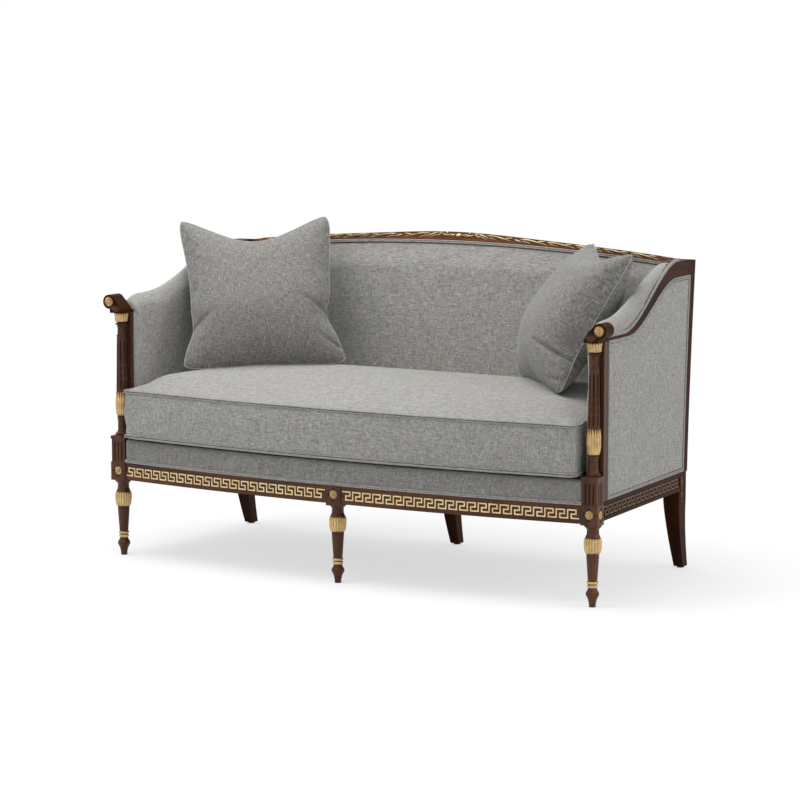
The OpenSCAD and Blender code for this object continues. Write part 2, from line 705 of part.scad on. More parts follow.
// Key pattern: the outline of its line, unit after unit
key_H = key_h - key_line;
key_a = 0.72;
key_b = 0.31;
function key_left(n, p, h) = [for (i = [0:n - 1]) let (x = i * p) each concat(
    i == 0 ? [[-h, key_H + h]] : [[x - h, h], [x - h, key_H + h]],
    [[x + key_a * p + h, key_H + h], [x + key_a * p + h, key_H / 2 - h],
     [x + key_b * p + h, key_H / 2 - h], [x + key_b * p + h, h]])];
function key_right(n, p, h) = [for (i = [0:n - 1]) let (x = i * p) each concat(
    i == 0 ? [[-h, key_H - h]] : [[x + h, -h], [x + h, key_H - h]],
    [[x + key_a * p - h, key_H - h], [x + key_a * p - h, key_H / 2 + h],
     [x + key_b * p - h, key_H / 2 + h], [x + key_b * p - h, -h]])];
function reversed(a) = [for (i = [len(a) - 1:-1:0]) a[i]];
module key_outline(n, p) {
    h = key_line / 2;
    polygon(concat(key_left(n, p, h), [[n * p, h], [n * p, -h]], reversed(key_right(n, p, h))));
}
key_x0 = mid_block_w / 2 + 6;
key_n = round((bow_half - 4 - key_x0) / key_pitch);
key_p = (bow_half - 4 - key_x0) / key_n;
key_z = rail_z + (rail_h - key_H) / 2;
module key_front() {
    intersection() {
        along_y(-bow_face - bow - 10, 0) translate([key_x0, key_z]) key_outline(key_n, key_p);
        bowed(bow_half) translate([bow_R, rail_z]) square([gilt_t, rail_h]);
    }
}
module key_band_front_left() { color(gilt) left() key_front(); }
module key_band_front_right() { color(gilt) right() key_front(); }
side_key_l = side_len - 14;
side_key_n = round(side_key_l / key_pitch);
side_band_z = side_top - side_rail_h + 10;
side_band_h = side_rail_h - 21;
module key_side() {
    side_frame() along_x(-recess, gilt_t - recess)
        translate([6, side_band_z + (side_band_h - key_H) / 2])
        key_outline(side_key_n, side_key_l / side_key_n);
}
module key_band_side_left() { color(gilt) left() key_side(); }
module key_band_side_right() { color(gilt) right() key_side(); }

// Crest carving: leaf sprays either side of a middle flower
spray_l = crest_half * 0.93;
spray_n = 84;
spray_rise = 9;
function spray_h(x) = 1 + spray_rise * exp(-pow(x / spray_l * 2.8, 2)) + 1.2 * abs(sin(x * 2.6));
function spray_low(x) = 3 + 5 * pow(1 - abs(x) / spray_l, 0.8) + 1.6 * abs(sin(x * 2.6 + 40));
function spray_x(i) = -spray_l + 2 * spray_l * i / spray_n;
module crest_carving() {
    color(gilt) placed() crest_frame() {
        along_y(-post_d - 2.6, -post_d) polygon(concat(
            [for (i = [0:spray_n]) let (x = spray_x(i)) [x, crest_z(x) + spray_h(x)]],
            [for (i = [spray_n:-1:0]) let (x = spray_x(i)) [x, crest_z(x) - spray_low(x)]]));
        along_y(-post_d - eps, -post_d + 9) polygon(concat(
            [for (i = [0:spray_n]) let (x = spray_x(i)) [x, crest_z(x) + spray_h(x)]],
            [for (i = [crest_n:-1:0]) let (x = -spray_l + 2 * spray_l * i / crest_n) [x, crest_z(x) + gap]]));
        translate([12, -post_d - 2, crest_rise - 1]) rotate([90, 0, 0]) rosette(10.5, 4);
    }
}

// Bellflower drop on the outer face of each rear leg
drop_y = leg_front + rear_leg_d * 0.3;
module husk(h, w) {
    polygon([[0, h], [-w * 0.28, h * 0.86], [-w * 0.5, h * 0.3], [-w * 0.42, 0], [-w * 0.2, h * 0.2],
        [0, h * 0.02], [w * 0.2, h * 0.2], [w * 0.42, 0], [w * 0.5, h * 0.3], [w * 0.28, h * 0.86]]);
}
module rear_leg_drops() {
    color(gilt) both() along_x(post_x, post_x + gilt_t) {
        translate([drop_y, side_top - 15]) circle(r = 3.4);
        translate([drop_y, side_top - 37]) husk(20, 13);
        translate([drop_y - 1, side_top - 60]) square([2, 26]);
        translate([drop_y, side_top - 78]) husk(22, 12);
    }
}

// Sinuous springs, each a flat meander of wire from the front rail to the back rail
spring_w = 22;
spring_rows = 14;
border_t = 14;
clip_w = 26;
clip_d = 10;
spring_z = rail_top + 1.2;
function spring_x(i) = (i - (spring_n - 1) / 2) * 2 * (bow_half - 70) / spring_n;
function spring_y0(x) = bow_y(x) + border_t + clip_d / 2 + 6;
function meander(x, y0, p, n, h) = concat(
    [for (i = [0:n]) each i % 2 == 0
        ? [[x - spring_w - (i == 0 ? 0 : h), y0 + i * p + h],
           [x + spring_w - (i == n ? 0 : h), y0 + i * p + h]]
        : [[x + spring_w - h, y0 + i * p - h], [x - spring_w - h, y0 + i * p - h]]],
    [for (i = [n:-1:0]) each i % 2 == 0
        ? [[x + spring_w + (i == n ? 0 : h), y0 + i * p - h],
           [x - spring_w + (i == 0 ? 0 : h), y0 + i * p - h]]
        : [[x - spring_w + h, y0 + i * p + h], [x + spring_w + h, y0 + i * p + h]]]);
spring_y1 = leg_back - 14;
module seat_springs() {
    color(steel) placed() for (i = [0:spring_n - 1]) {
        x = spring_x(i);
        y0 = spring_y0(x);
        translate([0, 0, spring_z]) linear_extrude(wire_t)
            polygon(meander(x, y0, (spring_y1 - y0) / spring_rows, spring_rows, wire_t / 2));
    }
}
module spring_clip(x, y) {
    difference() {
        translate([x - clip_w / 2, y - clip_d / 2, rail_top]) cube([clip_w, clip_d, wire_t + 3.4]);
        translate([x - clip_w, y - wire_t / 2 - gap, spring_z - gap])
            cube([2 * clip_w, wire_t + 2 * gap, wire_t + 2 * gap]);
    }
}
module spring_clips() {
    color(steel) placed() for (i = [0:spring_n - 1]) {
        spring_clip(spring_x(i), spring_y0(spring_x(i)));
        spring_clip(spring_x(i), spring_y1);
    }
}

// Covered deck edge, deck pad and dust cover
deck_n = 16;
deck_half = fx - fluted_w / 2 - gap;
pad_z = rail_top + wire_t + 5;
module deck_border() {
    color(linen) placed() bowed(deck_half) translate([bow_R - border_t - 2, rail_top])
        polygon([[0, 0], [border_t, 0], [border_t, deck_h - 9], [border_t - 1.4, deck_h - 4],
            [border_t - 5, deck_h - 0.8], [border_t - 8, deck_h], [0, deck_h]]);
}
// A double welt lying on a face to its left, its cords one above the other
module welt_profile() {
    translate([0, 0]) square([welt_d * 0.5, 2 * welt_d]);
    translate([welt_d * 0.5, welt_d * 0.5]) circle(r = welt_d / 2);
    translate([welt_d * 0.5, welt_d * 1.5]) circle(r = welt_d / 2);
}
module deck_welt() {
    color(linen) placed() bowed(deck_half) translate([bow_R - 2, rail_top]) welt_profile();
}
module deck_pad() {
    x0 = fx - block_w / 2 - 2;
    y_end = leg_back - 2 - rear_leg_d;
    color(linen) placed() translate([0, 0, pad_z]) linear_extrude(deck_top - pad_z - gap) polygon(concat(
        [for (i = [0:deck_n]) let (x = -x0 + 2 * x0 * i / deck_n) [x, bow_y(x) + border_t + 4]],
        [[arm_x - arm_w - 3 - (y_end - block_back) * tan(side_angle), y_end],
         [-(arm_x - arm_w - 3 - (y_end - block_back) * tan(side_angle)), y_end]]));
}
module dust_cover() {
    x0 = bow_half - 4;
    color(black) placed() translate([0, 0, rail_z - 1]) linear_extrude(1) difference() {
        polygon(concat(
            [for (i = [0:deck_n]) let (x = -x0 + 2 * x0 * i / deck_n) [x, bow_y(x) + rail_t - 12]],
            [[post_x - rail_t - 2, leg_front - 3], [crest_half - 3, leg_front - 3],
             [crest_half - 3, leg_back - 12], [-crest_half + 3, leg_back - 12],
             [-crest_half + 3, leg_front - 3], [-post_x + rail_t + 2, leg_front - 3]]));
        translate([-mid_block_w / 2 - 1, mid_y - block_front - 1]) square([mid_block_w + 2, 2 * block_front + 2]);
        translate([-post_w / 2 - 1, leg_front - 1]) square([post_w + 2, rear_leg_d + 2]);
    }
}

// Back: everything between the posts stays under the arched crest
crest_h = 34;
module under_crest(d) {
    crest_frame() along_y(-250, 250) polygon(concat([[crest_half + 60, -720], [-crest_half - 60, -720],
        [-crest_half - 60, -crest_h - d]], crest_points(crest_half - gap, -crest_h - d),
        [[crest_half + 60, -crest_h - d]]));
}
web_w = 50;
web_n = 7;
web_rows = 3;
module back_webbing() {
    step = 2 * crest_half / (web_n + 0.6);
    rise = (post_top - deck_top) / (web_rows + 1);
    color(jute) placed() intersection() {
        union() {
            for (i = [0:web_n - 1]) let (x = (i - (web_n - 1) / 2) * step)
                back_strip(x - web_w / 2, x + web_w / 2, post_d - web_t, post_d - gap, post_top + crest_rise);
            for (i = [1:web_rows]) intersection() {
                back_strip(-crest_half + gap, crest_half - gap, post_d - 2 * web_t, post_d - web_t,
                    post_top + crest_rise);
                translate([-crest_half, 0, deck_top + i * rise - web_w / 2])
                    cube([2 * crest_half, 2 * leg_depth, web_w]);
            }
        }
        under_crest(1);
        translate([-crest_half, 0, pad_z]) cube([2 * crest_half, 2 * leg_depth, post_top]);
    }
}
module outside_back_panel() {
    color(linen) placed() intersection() {
        back_strip(-crest_half + gap, crest_half - gap, 2, panel_t + 2, post_top + 40);
        under_crest(gap);
    }
}
module outside_back_welt() {
    color(linen) placed() intersection() {
        difference() {
            back_strip(-crest_half + gap, crest_half - gap, 0, 2, post_top + 40);
            translate([-crest_half + 2 * welt_d, 0, 0]) cube([2 * (crest_half - 2 * welt_d), 900, 600]);
            intersection() {
                translate([-crest_half + 2 * welt_d, 0, 590]) cube([2 * (crest_half - 2 * welt_d), 900, 600]);
                under_crest(2 * welt_d);
            }
        }
        under_crest(gap);
    }
}
welt_low = crest_wood + 2 * welt_d;
module back_welt() {
    span = asin((crest_half - 1) / crest_R);
    color(linen) placed() crest_frame() translate([0, -post_d, crest_rise - crest_R])
        rotate([90, 0, 0]) rotate([0, 0, 90 - span]) rotate_extrude(angle = 2 * span, $fn = 720)
            translate([crest_R - welt_low, 0]) {
                square([2 * welt_d, welt_d / 2]);
                translate([welt_d * 0.5, welt_d / 2]) circle(r = welt_d / 2);
                translate([welt_d * 1.5, welt_d / 2]) circle(r = welt_d / 2);
            }
}

// Solids from grids and rings of points, for the soft forms
module grid_solid(front, back) {
    n = len(front) - 1;
    m = len(front[0]) - 1;
    N = (n + 1) * (m + 1);
    function id(i, j, b) = b * N + i * (m + 1) + j;
    function two(a, b, c, d) = [[a, b, c], [a, c, d]];
    polyhedron(points = concat([for (r = front) each r], [for (r = back) each r]), faces = concat(
        [for (i = [0:n - 1], j = [0:m - 1])
            each two(id(i, j, 0), id(i, j + 1, 0), id(i + 1, j + 1, 0), id(i + 1, j, 0))],
        [for (i = [0:n - 1], j = [0:m - 1])
            each two(id(i, j, 1), id(i + 1, j, 1), id(i + 1, j + 1, 1), id(i, j + 1, 1))],
        [for (i = [0:n - 1]) each two(id(i, 0, 0), id(i + 1, 0, 0), id(i + 1, 0, 1), id(i, 0, 1))],
        [for (i = [0:n - 1]) each two(id(i, m, 0), id(i, m, 1), id(i + 1, m, 1), id(i + 1, m, 0))],
        [for (j = [0:m - 1]) each two(id(0, j, 0), id(0, j, 1), id(0, j + 1, 1), id(0, j + 1, 0))],
        [for (j = [0:m - 1]) each two(id(n, j, 0), id(n, j + 1, 0), id(n, j + 1, 1), id(n, j, 1))]));
}
module loft(rings) {
    n = len(rings[0]);
    m = len(rings) - 1;
    polyhedron(points = [for (r = rings) each r], faces = concat(
        [[for (k = [0:n - 1]) k]], [[for (k = [n - 1:-1:0]) m * n + k]],
        [for (i = [0:m - 1], k = [0:n - 1]) let (q = (k + 1) % n)
            each [[i * n + k, (i + 1) * n + k, (i + 1) * n + q], [i * n + k, (i + 1) * n + q, i * n + q]]]));
}

// Inside back padding, crowned forward
pad_half = side_x_back() - 2;
function side_x_back() = arm_x - (arm_w + arm_pad_t) / cos(side_angle)
    - (post_back(post_top) - post_d - block_back) * tan(side_angle);
pad_nx = 20;
pad_nz = 10;
function pad_top_z(x) = post_top_front + (crest_z(x) - welt_low - 1) * cos(rake_top);
function pad_wall(z) = post_back(z) - post_d / cos(rake_top) - gap;
function pad_face(u, v) = pad_wall(deck_top) - (back_pad_t - 4)
    + (pad_wall(post_top) - pad_wall(deck_top) - 2) * v
    - back_crown * (1 - pow(abs(u), 4)) * (1 - pow(2 * v - 1, 2));
module inside_back_pad() {
    function px(i) = pad_half * (2 * i / pad_nx - 1);
    function pz(i, j) = deck_top + gap + (pad_top_z(px(i)) - deck_top - gap) * j / pad_nz;
    color(linen) placed() grid_solid(
        [for (i = [0:pad_nx]) [for (j = [0:pad_nz]) [px(i), pad_face(2 * i / pad_nx - 1, j / pad_nz), pz(i, j)]]],
        [for (i = [0:pad_nx]) [for (j = [0:pad_nz]) [px(i), pad_wall(pz(i, j)), pz(i, j)]]]);
}

// Inside arm padding: it climbs the arm rail's inner face and rolls over its top
arm_pad_n = 18;
arm_pad_y0 = scroll_l - block_d + arm_w * tan(side_angle) + 2 * gap;
arm_pad_in = -arm_w - arm_pad_t;
rake_sag = 0.085 * rake;
arm_pad_low = arm_end(deck_top) - rake_sag;
arm_pad_high = arm_end(post_top) - rake_sag;
function arm_pad_y(i) = arm_pad_y0 + (arm_pad_high - arm_pad_y0) * i / arm_pad_n;
function arm_pad_lean(i, z) = (arm_pad_high - arm_pad_low) * pow(i / arm_pad_n, 3)
    * (z - post_top) / (post_top - deck_top);
function arm_pad_lead(y) = min(1, 0.25 + (y - arm_pad_y0) / 40);
function arm_pad_out(y) = -welt_d - 1 - (arm_w - welt_d - 5) * smooth((y - arm_len + 150) / 90);
function arm_pad_ring(y) = let (w = -arm_w - gap, u = arm_upper(y) + 3 * gap,
    t = u + (arm_pad_top(y) - u) * sqrt(arm_pad_lead(y)), o = arm_pad_out(y), r = min(16, (t - u) * 0.8), c = (t - u))
    [[w, deck_top + gap], [arm_pad_in, deck_top + gap], [arm_pad_in, t - r],
     [arm_pad_in + r * 0.12, t - r * 0.5], [arm_pad_in + r * 0.5, t - r * 0.12], [arm_pad_in + r, t],
     [(arm_pad_in + o) / 2, t + 0.5], [o - c * 0.35, t - c * 0.1], [o - c * 0.12, t - c * 0.32],
     [o, u + c * 0.3], [o, u], [w, u]];
module inside_arm_pad() {
    side_frame() loft([for (i = [0:arm_pad_n]) let (y = arm_pad_y(i))
        [for (p = arm_pad_ring(y)) [p[0], y + arm_pad_lean(i, p[1]), p[1]]]]);
}
module inside_arm_pad_left() { color(linen) left() inside_arm_pad(); }
module inside_arm_pad_right() { color(linen) right() inside_arm_pad(); }
module arm_welts() {
    last = 16;
    color(linen) both() side_frame() along_x(-welt_d, -gap) polygon(concat(
        [for (i = [0:last]) [arm_edge_top()[i][0], arm_edge_top()[i][1]]],
        [for (i = [last:-1:0]) [arm_edge_top()[i][0], arm_edge_top()[i][1] + 2 * welt_d]]));
}

// Outside arm panel and the double welt round its edge
function panel_back(z, d) = (post_back(z) - post_d + rabbet_w - block_back) / cos(side_angle) - 2 * gap - d;
panel_y0 = arm_y0 + panel_t * tan(side_angle) + gap;
function panel_outline(d) = concat(
    [[panel_y0 + d, side_top + gap + d]],
    [for (i = [0:post_n]) let (z = side_top + gap + d
        + (arm_lower(arm_len) - d - side_top - 2 * gap - d) * i / post_n) [panel_back(z, d), z]],
    [for (i = [arm_n:-1:0])
        let (y = panel_y0 + d + (arm_end(post_top - edge_rear - rabbet_h) - 2 * d - panel_y0) * i / arm_n)
        [y, arm_lower(y) - gap - d]]);
module outside_arm_panel() {
    side_frame() along_x(-panel_t, 0) polygon(panel_outline(0));
}
module outside_arm_panel_left() { color(linen) left() outside_arm_panel(); }
module outside_arm_panel_right() { color(linen) right() outside_arm_panel(); }
module outside_arm_welts() {
    color(linen) both() side_frame() along_x(0, 1.8) difference() {
        polygon(panel_outline(0.4));
        polygon(panel_outline(2 * welt_d));
    }
}

// Seat cushion: rings that follow its plan, drawn in at the corners and crowned on top
cu_nf = 10;
arm_face = arm_pad_t + arm_w + soft_gap + cushion_bulge;
function arm_face_x(y) = arm_x - arm_face / cos(side_angle) - (y - block_back) * tan(side_angle);
ear_x = fx - block_w / 2 - 2 - cushion_bulge;
cu_back = pad_face(0, 0) - soft_gap - cushion_bulge - 0.5;
cu_start = arm_pad_y0 + block_back;
cu_mid = (cu_back - bow) / 2;
function cu_y(x) = bow_y(x) - cushion_over;
cu_side = [for (i = [0:5]) cu_start + 10 + (cu_back - 24 - cu_start - 10) * i / 5];
cu_half = concat(
    [for (i = [0:cu_nf]) let (x = (ear_x - 18) * i / cu_nf) [x, cu_y(x)]],
    [[ear_x - 8, cu_y(ear_x) + 4], [ear_x - 1, cu_y(ear_x) + 14], [ear_x, cu_y(ear_x) + 28],
     [ear_x - 3, block_back - 4], [arm_face_x(cu_start) - 1, cu_start - 4]],
    [for (y = cu_side) [arm_face_x(y), y]],
    [[arm_face_x(cu_back) - 5, cu_back - 8], [arm_face_x(cu_back) - 22, cu_back]],
    [for (i = [4:-1:0]) [140 * i, cu_back]]);
cu_n = len(cu_half);
cu_plan = concat(cu_half, [for (i = [cu_n - 2:-1:1]) [-cu_half[i][0], cu_half[i][1]]]);
cu_N = len(cu_plan);
function cu_normal(i) = let (a = cu_plan[(i + cu_N - 1) % cu_N], b = cu_plan[(i + 1) % cu_N], l = norm(b - a))
    [(b[1] - a[1]) / l, (a[0] - b[0]) / l];
cu_normals = [for (i = [0:cu_N - 1]) cu_normal(i)];
function cu_ring(o, z) = [for (i = [0:cu_N - 1]) [cu_plan[i][0] + cu_normals[i][0] * o,
    cu_plan[i][1] + cu_normals[i][1] * o, z]];
function cu_rise(p) = p[1] > cu_back - 30 ? 10 : p[1] > block_back ? 22 : abs(p[0]) > ear_x - 12 ? 10 : 4.5;
function cu_top(s) = [for (p = cu_plan) [p[0] * s, cu_mid + (p[1] - cu_mid) * s,
    cushion_top_z + cushion_crown * (1 - pow(s, cu_rise(p)))]];
module seat_cushion() {
    b = cushion_bulge;
    color(linen) placed() loft(concat(
        [cu_ring(-14, cushion_z), cu_ring(-5, cushion_z + 4), cu_ring(0, cushion_side_z),
         cu_ring(b * 0.7, cushion_side_z + cushion_h * 0.25), cu_ring(b, cushion_side_z + cushion_h * 0.55),
         cu_ring(b * 0.6, cushion_side_z + cushion_h * 0.82), cu_ring(0, cushion_top_z)],
        [for (s = [0.985, 0.96, 0.91, 0.8, 0.62, 0.4, 0.15]) cu_top(s)]));
}

// Throw pillows: knife edge with drawn-in sides, leaning in the back corners
pillow_n = 12;
module pillow(w, h) {
    function e(u) = 1 - u * u;
    function px(u, v) = w / 2 * u * (1 - 0.13 * e(v) * u * u);
    function pz(u, v) = h / 2 * v * (1 - (v > 0 ? 0.13 : 0.06) * e(u) * v * v);
    function pt(u, v) = 1 + pillow_t / 2 * pow(e(u) * e(v), 0.55);
    function q(i) = sin(90 * (2 * i / pillow_n - 1));
    grid_solid(
        [for (i = [0:pillow_n]) [for (j = [0:pillow_n]) [px(q(i), q(j)), -pt(q(i), q(j)), pz(q(i), q(j))]]],
        [for (i = [0:pillow_n]) [for (j = [0:pillow_n]) [px(q(i), q(j)), pt(q(i), q(j)), pz(q(i), q(j))]]]);
}
pillow_shape = 0.972;
// Lays a pillow in the corner: its top outer corner near the arm, its top inner corner near the back
module laid(w, yaw, lean, over, back, rest) {
    h = w * pillow_shape;
    half_x = w / 2 * cos(yaw) + h / 2 * sin(lean) * sin(yaw);
    half_y = w / 2 * sin(yaw) + h / 2 * sin(lean) * cos(yaw);
    translate([fx + over - half_x, post_back(post_top) - post_d - back - half_y,
        cushion_top_z + cushion_crown + rest + h / 2 * cos(lean)])
        rotate([0, 0, -yaw]) rotate([-lean, 0, 0]) pillow(w, h);
}
module throw_pillow_left() { color(linen) left() laid(pillow_w, 34, 30, 6, 56, 0.7); }
module throw_pillow_right() { color(linen) right() laid(pillow_w * 0.94, 47.5, 29, 0, 18, -0.2); }

// Draws the whole piece, or the one part that is asked for
front_leg_left();
front_leg_right();
front_leg_centre();
rear_leg_left();
rear_leg_right();
rear_leg_centre();
arm_column_left();
arm_column_right();
arm_stump_left();
arm_stump_right();
arm_scroll_left();
arm_scroll_right();
arm_rail_left();
arm_rail_right();
front_seat_rail();
side_seat_rail_left();
side_seat_rail_right();
back_seat_rail();
crest_rail();
lower_arm_rails();
back_uprights();
seat_stretchers();
corner_blocks();
corner_block_screws();
rail_dowels();
foot_glides();
leg_collars();
ankle_rings();
column_collars();
column_capitals();
block_rosettes();
scroll_rosettes();
key_band_front_left();
key_band_front_right();
key_band_side_left();
key_band_side_right();
crest_carving();
rear_leg_drops();
seat_springs();
spring_clips();
deck_pad();
deck_border();
deck_welt();
dust_cover();
back_webbing();
inside_back_pad();
back_welt();
outside_back_panel();
outside_back_welt();
inside_arm_pad_left();
inside_arm_pad_right();
arm_welts();
outside_arm_panel_left();
outside_arm_panel_right();
outside_arm_welts();
seat_cushion();
throw_pillow_left();
throw_pillow_right();
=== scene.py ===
# %% [markdown]
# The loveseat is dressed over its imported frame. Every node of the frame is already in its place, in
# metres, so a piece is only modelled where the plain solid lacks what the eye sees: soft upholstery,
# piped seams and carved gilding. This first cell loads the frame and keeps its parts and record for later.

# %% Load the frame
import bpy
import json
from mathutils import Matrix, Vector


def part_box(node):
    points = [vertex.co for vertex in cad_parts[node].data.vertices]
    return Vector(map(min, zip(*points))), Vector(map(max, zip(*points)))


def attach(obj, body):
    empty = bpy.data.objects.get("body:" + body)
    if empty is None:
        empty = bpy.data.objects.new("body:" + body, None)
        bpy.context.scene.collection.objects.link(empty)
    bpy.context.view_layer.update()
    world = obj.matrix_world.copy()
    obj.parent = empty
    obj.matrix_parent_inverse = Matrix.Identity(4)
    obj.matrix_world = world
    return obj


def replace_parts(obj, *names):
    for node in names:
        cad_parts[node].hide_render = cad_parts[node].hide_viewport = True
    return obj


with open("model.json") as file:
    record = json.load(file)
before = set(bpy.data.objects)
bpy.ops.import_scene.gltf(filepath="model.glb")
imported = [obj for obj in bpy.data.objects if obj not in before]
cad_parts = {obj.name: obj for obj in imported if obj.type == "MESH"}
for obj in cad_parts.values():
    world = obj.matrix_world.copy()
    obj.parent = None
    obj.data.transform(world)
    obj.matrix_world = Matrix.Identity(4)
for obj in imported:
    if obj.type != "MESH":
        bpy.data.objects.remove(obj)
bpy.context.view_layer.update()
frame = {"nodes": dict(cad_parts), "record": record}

import json
import math
from contextlib import contextmanager

import bpy
from mathutils import Matrix, Vector, noise

scene = bpy.context.scene
nodes = frame["nodes"]
capital_low, capital_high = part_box("column_capitals")
LEG_Y = (capital_low.y + capital_high.y) / 2


def at(x, y, z):
    """A point given in millimetres from the front leg axes, as a point in the frame."""
    return Vector((x / 1000, y / 1000 + LEG_Y, z / 1000))


print("nodes:", len(nodes), "front leg axes at y =", round(LEG_Y, 4))

# %% [markdown]
# Studio pictures of furniture are shot from a little above, with a long lens, so that the legs stay
# nearly parallel. A lens of 132 mm from almost 8 m away gives that calm perspective.

# %% Place the camera
AZIMUTH, PITCH = math.radians(30.022), math.radians(7.618)
SENSOR_MM, LENS_MM = 36, 132.55
camera_data = bpy.data.cameras.new("studio_camera")
camera_data.sensor_width = SENSOR_MM
camera_data.lens = LENS_MM
camera_data.clip_end = 60
camera = bpy.data.objects.new("studio_camera", camera_data)
scene.collection.objects.link(camera)
camera.location = at(4058.54, -6738.73, 1543.36)
level_share = math.cos(PITCH)
view_line = Vector((-math.sin(AZIMUTH) * level_share, math.cos(AZIMUTH) * level_share, -math.sin(PITCH)))
camera.rotation_euler = view_line.to_track_quat("-Z", "Y").to_euler()
scene.camera = camera
print("camera at", [round(v, 3) for v in camera.location])

# %% [markdown]
# Soft light comes from big sources. Two large lamps stand high at the left front and above, a weaker
# one fills from the right, and the world gives an even grey light. The background is white only for
# the rays that see it directly or in a reflection, so it adds no light of its own.

# %% Light the studio
WHITE = (1, 1, 1, 1)
scene.view_settings.view_transform = "Standard"
world = bpy.data.worlds.new("studio_world")
scene.world = world


def give(tree, node, values):
    """Sets a node's values, and links those that are another node or one of its outputs."""
    for name, value in values.items():
        if isinstance(value, bpy.types.Node):
            value = value.outputs[0]
        if isinstance(value, bpy.types.NodeSocket):
            tree.links.new(value, node.inputs[name])
        elif isinstance(name, int) or name in node.inputs:
            node.inputs[name].default_value = value
        else:
            setattr(node, name, value)


def add_node(tree, kind, values, stops=()):
    """Adds one shader node with its settings, its links and the stops of a colour ramp."""
    made = tree.nodes.new("ShaderNode" + kind)
    made.location = (200 * len(tree.nodes), 0)
    give(tree, made, values)
    for number, (position, shade) in enumerate(stops):
        elements = made.color_ramp.elements
        stop = elements[number] if number < 2 else elements.new(position)
        stop.position, stop.color = position, shade
    return made


def fresh_tree(owner):
    """The emptied node tree of a material or a world."""
    owner.use_nodes = True
    owner.node_tree.nodes.clear()
    return owner.node_tree


def see_white(tree, lit, white):
    """Gives one shader to the lamps, and another to the camera, gloss and glass."""
    path = add_node(tree, "LightPath", {})
    seen = path.outputs["Is Camera Ray"]
    for ray in ("Is Glossy Ray", "Is Transmission Ray"):
        seen = add_node(tree, "Math", {"operation": "ADD", "use_clamp": True, 0: seen, 1: path.outputs[ray]})
    return add_node(tree, "MixShader", {0: seen, 1: lit, 2: white})


sky = fresh_tree(world)
soft_grey = add_node(sky, "Background", {"Color": (0.97, 0.98, 1.0, 1), "Strength": 0.42})
plain_white = add_node(sky, "Background", {"Color": WHITE, "Strength": 1.0})
add_node(sky, "OutputWorld", {"Surface": see_white(sky, soft_grey, plain_white)})


def add_lamp(name, place, target, size, watts):
    """A square soft box that looks at a point."""
    data = bpy.data.lights.new(name, "AREA")
    data.size = size
    data.energy = watts
    lamp = bpy.data.objects.new(name, data)
    scene.collection.objects.link(lamp)
    lamp.location = place
    lamp.rotation_euler = (Vector(target) - Vector(place)).to_track_quat("-Z", "Y").to_euler()


add_lamp("key_box", (-0.6, -0.45, 3.15), (0, 0, 0.4), 2.6, 76)
add_lamp("side_box", (3.6, 0.5, 1.9), (0, 0, 0.5), 1.8, 28)
add_lamp("front_box", (-3.3, -3.2, 1.7), (0, 0, 0.5), 2.4, 10)

# %% [markdown]
# Colours are written as the hex values that a picture editor shows. Shaders work in linear light, so
# one function turns a hex value into linear numbers. Every material starts from an empty tree with
# one shader, and its constants go on the shader's own sockets.

# %% Colours


def colour(hex_value):
    """sRGB hex to a linear colour."""
    parts = [int(hex_value[i:i + 2], 16) / 255 for i in (1, 3, 5)]
    return tuple(p / 12.92 if p <= 0.04045 else ((p + 0.055) / 1.055) ** 2.4 for p in parts) + (1.0,)


def start_material(name):
    """An empty material with its tree, shader and output."""
    material = bpy.data.materials.new(name)
    tree = fresh_tree(material)
    shader = add_node(tree, "BsdfPrincipled", {})
    add_node(tree, "OutputMaterial", {"Surface": shader})
    return material, tree, shader


print("mid grey in linear light:", round(colour("#808080")[0], 4))

# %% [markdown]
# The floor is a wide pale sheet. To the camera it is mostly its own white, and partly a diffuse sheet
# that the lamps light, so the soft contact shadow stays. Further out it fades to plain white.

# %% Floor


def primitive(add, name, **settings):
    """A new primitive, added with everything else deselected."""
    bpy.ops.object.select_all(action="DESELECT")
    add(**settings)
    made = bpy.context.active_object
    made.name = name
    return made


floor = primitive(bpy.ops.mesh.primitive_plane_add, "studio_floor", size=14, location=(0, 0, 0))
floor_material = bpy.data.materials.new("pale_paper_floor")
floor_tree = fresh_tree(floor_material)
paper = add_node(floor_tree, "BsdfDiffuse", {"Color": (0.86, 0.86, 0.87, 1)})
bright = add_node(floor_tree, "Emission", {"Color": WHITE, "Strength": 0.64})
shadowed = add_node(floor_tree, "BsdfDiffuse", {"Color": (0.45, 0.45, 0.46, 1)})
near = add_node(floor_tree, "AddShader", {0: bright, 1: shadowed})
far = add_node(floor_tree, "Emission", {"Color": WHITE, "Strength": 1.0})
spot = add_node(floor_tree, "TexCoord", {}).outputs["Object"]
oval = add_node(floor_tree, "Mapping", {"Scale": (0.8, 1.1, 1.0), "Vector": spot})
reach = add_node(floor_tree, "VectorMath", {"operation": "LENGTH", 0: oval}).outputs["Value"]
fade = add_node(floor_tree, "MapRange", {"interpolation_type": "SMOOTHSTEP", "From Min": 0.75, "From Max": 1.5,
                                         "Value": reach})
seen_floor = add_node(floor_tree, "MixShader", {0: fade, 1: near, 2: far})
add_node(floor_tree, "OutputMaterial", {"Surface": see_white(floor_tree, paper, seen_floor)})
floor.data.materials.append(floor_material)
print("floor is", [round(v, 1) for v in floor.dimensions])

# %% [markdown]
# Show wood: walnut, stained dark and finished with a satin varnish. Its pores run along the board, so
# the grain is noise that is stretched thirty times along one axis. The varnish is a thin clear coat.
# Real growth bands are 3 to 8 mm apart and pores 0.3 mm; they are drawn 38 mm, with finer bands in
# them, and 2.4 mm apart, so that they show.

# %% Walnut
BANDS_PER_M, PORES_PER_M = 26, 420
UPRIGHT_GRAIN, X_GRAIN, Y_GRAIN = (1, 1, 0.035), (0.035, 1, 1), (1, 0.035, 1)
# Side and rear walnut: the lower gloss is the finish, and the darker colour is painted shade for faces turned
# from the lamps.
SHADED_WALNUT = ("#250f05", "#48240f", 0.04, 0.0)


